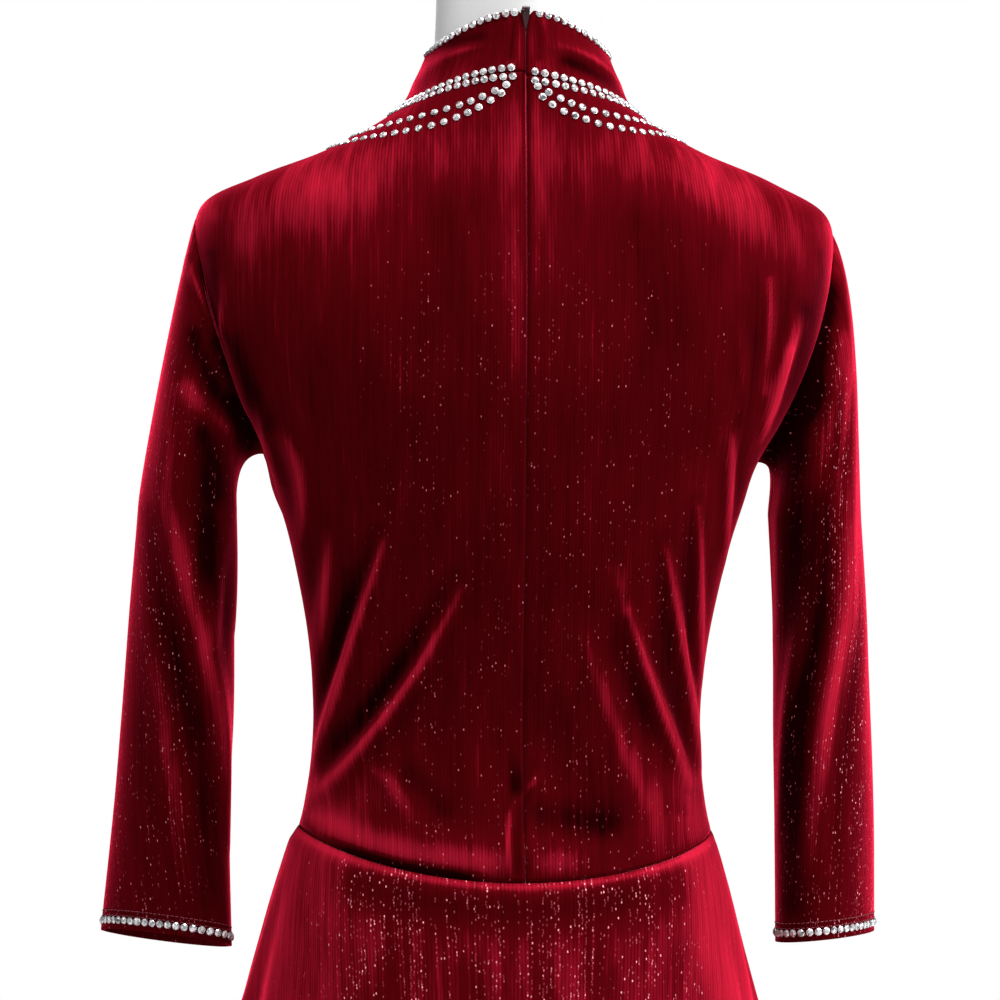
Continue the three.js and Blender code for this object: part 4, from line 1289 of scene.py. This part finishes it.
def sew(name, path):
    """A line of stitches along a path: each a short thread that dips in at its ends."""
    bm = bmesh.new()
    pitch, radius = STITCHES["pitch"], STITCHES["radius"]
    for (point, normal), (ahead, _) in zip(spaced(path, pitch), spaced(path, pitch, STITCHES["ahead"])):
        along = (ahead - point).normalized()
        turn = Matrix((along, normal.cross(along), normal)).transposed().to_4x4()
        seat = Matrix.Translation((point + normal * radius * 0.4) * MM) @ turn
        seat = seat @ Matrix.Rotation(math.pi / 2, 4, "Y")
        add_cone(bm, radius * MM, radius * MM, STITCHES["length"] * MM, 6, seat)
    return finish_piece(name, bm, THREAD)


def trim_cuffs(sleeves):
    for side, (_, _, surface) in sleeves.items():
        rows = SLEEVES[side]
        path = round_the_cuff(surface, rows, CUFF_STONES["up"])
        set_stones(f"stones_cuff_{side}", spaced(path, CUFF_STONES["pitch"]))
        for k, up in enumerate(STITCHES["ups"], 1):
            sew(f"stitches_cuff_{side}_{k}", round_the_cuff(surface, rows, up))


# ---- The room: a pale floor, soft lights and the camera ----
# Each light's name, its place and aim in metres, its size and its power.
LIGHTS = (
    ("top softbox", (-0.25, 0.5, 2.6), (0, 0, 0.8), (1.3, 0.8), 105),
    ("left softbox", (2.2, 0.3, 1.1), (0, 0, 0.65), (0.7, 1.6), 13),
    ("right softbox", (-2.0, 0.35, 1.1), (0, 0, 0.65), (0.7, 1.8), 48),
    ("near softbox", (-0.6, 3.0, 1.6), (0, 0, 0.7), (1.2, 1.2), 9),
    ("front softbox", (0.3, -2.4, 1.9), (0, 0, 0.7), (1.4, 1.2), 26),
)


def set_the_room():
    bm = bmesh.new()
    bmesh.ops.create_grid(bm, x_segments=8, y_segments=8, size=2.2)
    material, tree, shader = new_material("pale floor")
    feed(tree, shader, {"Base Color": (0.82, 0.82, 0.82, 1), "Roughness": 0.7})
    floor = new_piece("floor", bm, material, smooth=False)
    floor.location.z = -0.0005

    world = bpy.data.worlds.new("studio")
    bpy.context.scene.world = world
    world.use_nodes = True
    tree = world.node_tree
    seen = node(tree, "ShaderNodeLightPath").outputs["Is Camera Ray"]
    strength = scaled(tree, seen, 0.94, 0.06)
    feed(tree, tree.nodes["Background"], {"Color": (1, 1, 1, 1), "Strength": strength})

    for name, place, aim, size, power in LIGHTS:
        lamp = bpy.data.lights.new(name, "AREA")
        lamp.shape, lamp.size, lamp.size_y, lamp.energy = "RECTANGLE", *size, power
        light = bpy.data.objects.new(name, lamp)
        light.location = place
        light.rotation_euler = (Vector(aim) - Vector(place)).to_track_quat("-Z", "Y").to_euler()
        bpy.context.scene.collection.objects.link(light)
    bpy.context.scene.view_settings.view_transform = "Standard"


CAMERA = {"azimuth": 175.5, "distance": 2.5, "height": 0.706, "aside": 0.00645, "roll": 0.92, "lens": 145.16}


def set_camera():
    azimuth, roll = math.radians(CAMERA["azimuth"]), math.radians(CAMERA["roll"])
    back = Vector((math.sin(azimuth), -math.cos(azimuth), 0))
    right = (-back).cross(Vector((0, 0, 1)))
    camera = bpy.data.objects.new("camera", bpy.data.cameras.new("camera"))
    aimed = Vector((0, 0, CAMERA["height"])) - right * CAMERA["aside"]
    x = right * math.cos(roll) + Vector((0, 0, 1)) * math.sin(roll)
    y = Vector((0, 0, 1)) * math.cos(roll) - right * math.sin(roll)
    turn = Matrix((x, y, back)).transposed().to_4x4()
    camera.matrix_world = Matrix.Translation(aimed + back * CAMERA["distance"]) @ turn
    camera.data.lens = CAMERA["lens"]
    camera.data.sensor_width = 36
    bpy.context.scene.collection.objects.link(camera)
    bpy.context.scene.camera = camera


def declare(piece, area):
    """Prints a panel's name, its flat size, which is that of the rectangle that it's cut from, and its area,
    which is the cut's own."""
    loops = piece.data.uv_layers["cloth"].data
    xs, ys = [loop.uv.x for loop in loops], [loop.uv.y for loop in loops]
    width, length = max(xs) - min(xs), max(ys) - min(ys)
    print(piece.name, f"{width:.3f} x {length:.3f} m, area {area:.4f}")
    area = min(area, 0.999 * width * length)


panels = make_bodice()
panels["collar"] = make_collar()
for back in (True, False):
    panels["skirt_back" if back else "skirt_front"] = make_skirt(back)
sleeves = {name: make_sleeve(name) for name in SIDES}
form = make_form()
dress_nodes()
stone_rows()
trim_cuffs(sleeves)
for piece, area in [*panels.values(), *(made[:2] for made in sleeves.values())]:
    declare(piece, area)
set_the_room()
set_camera()
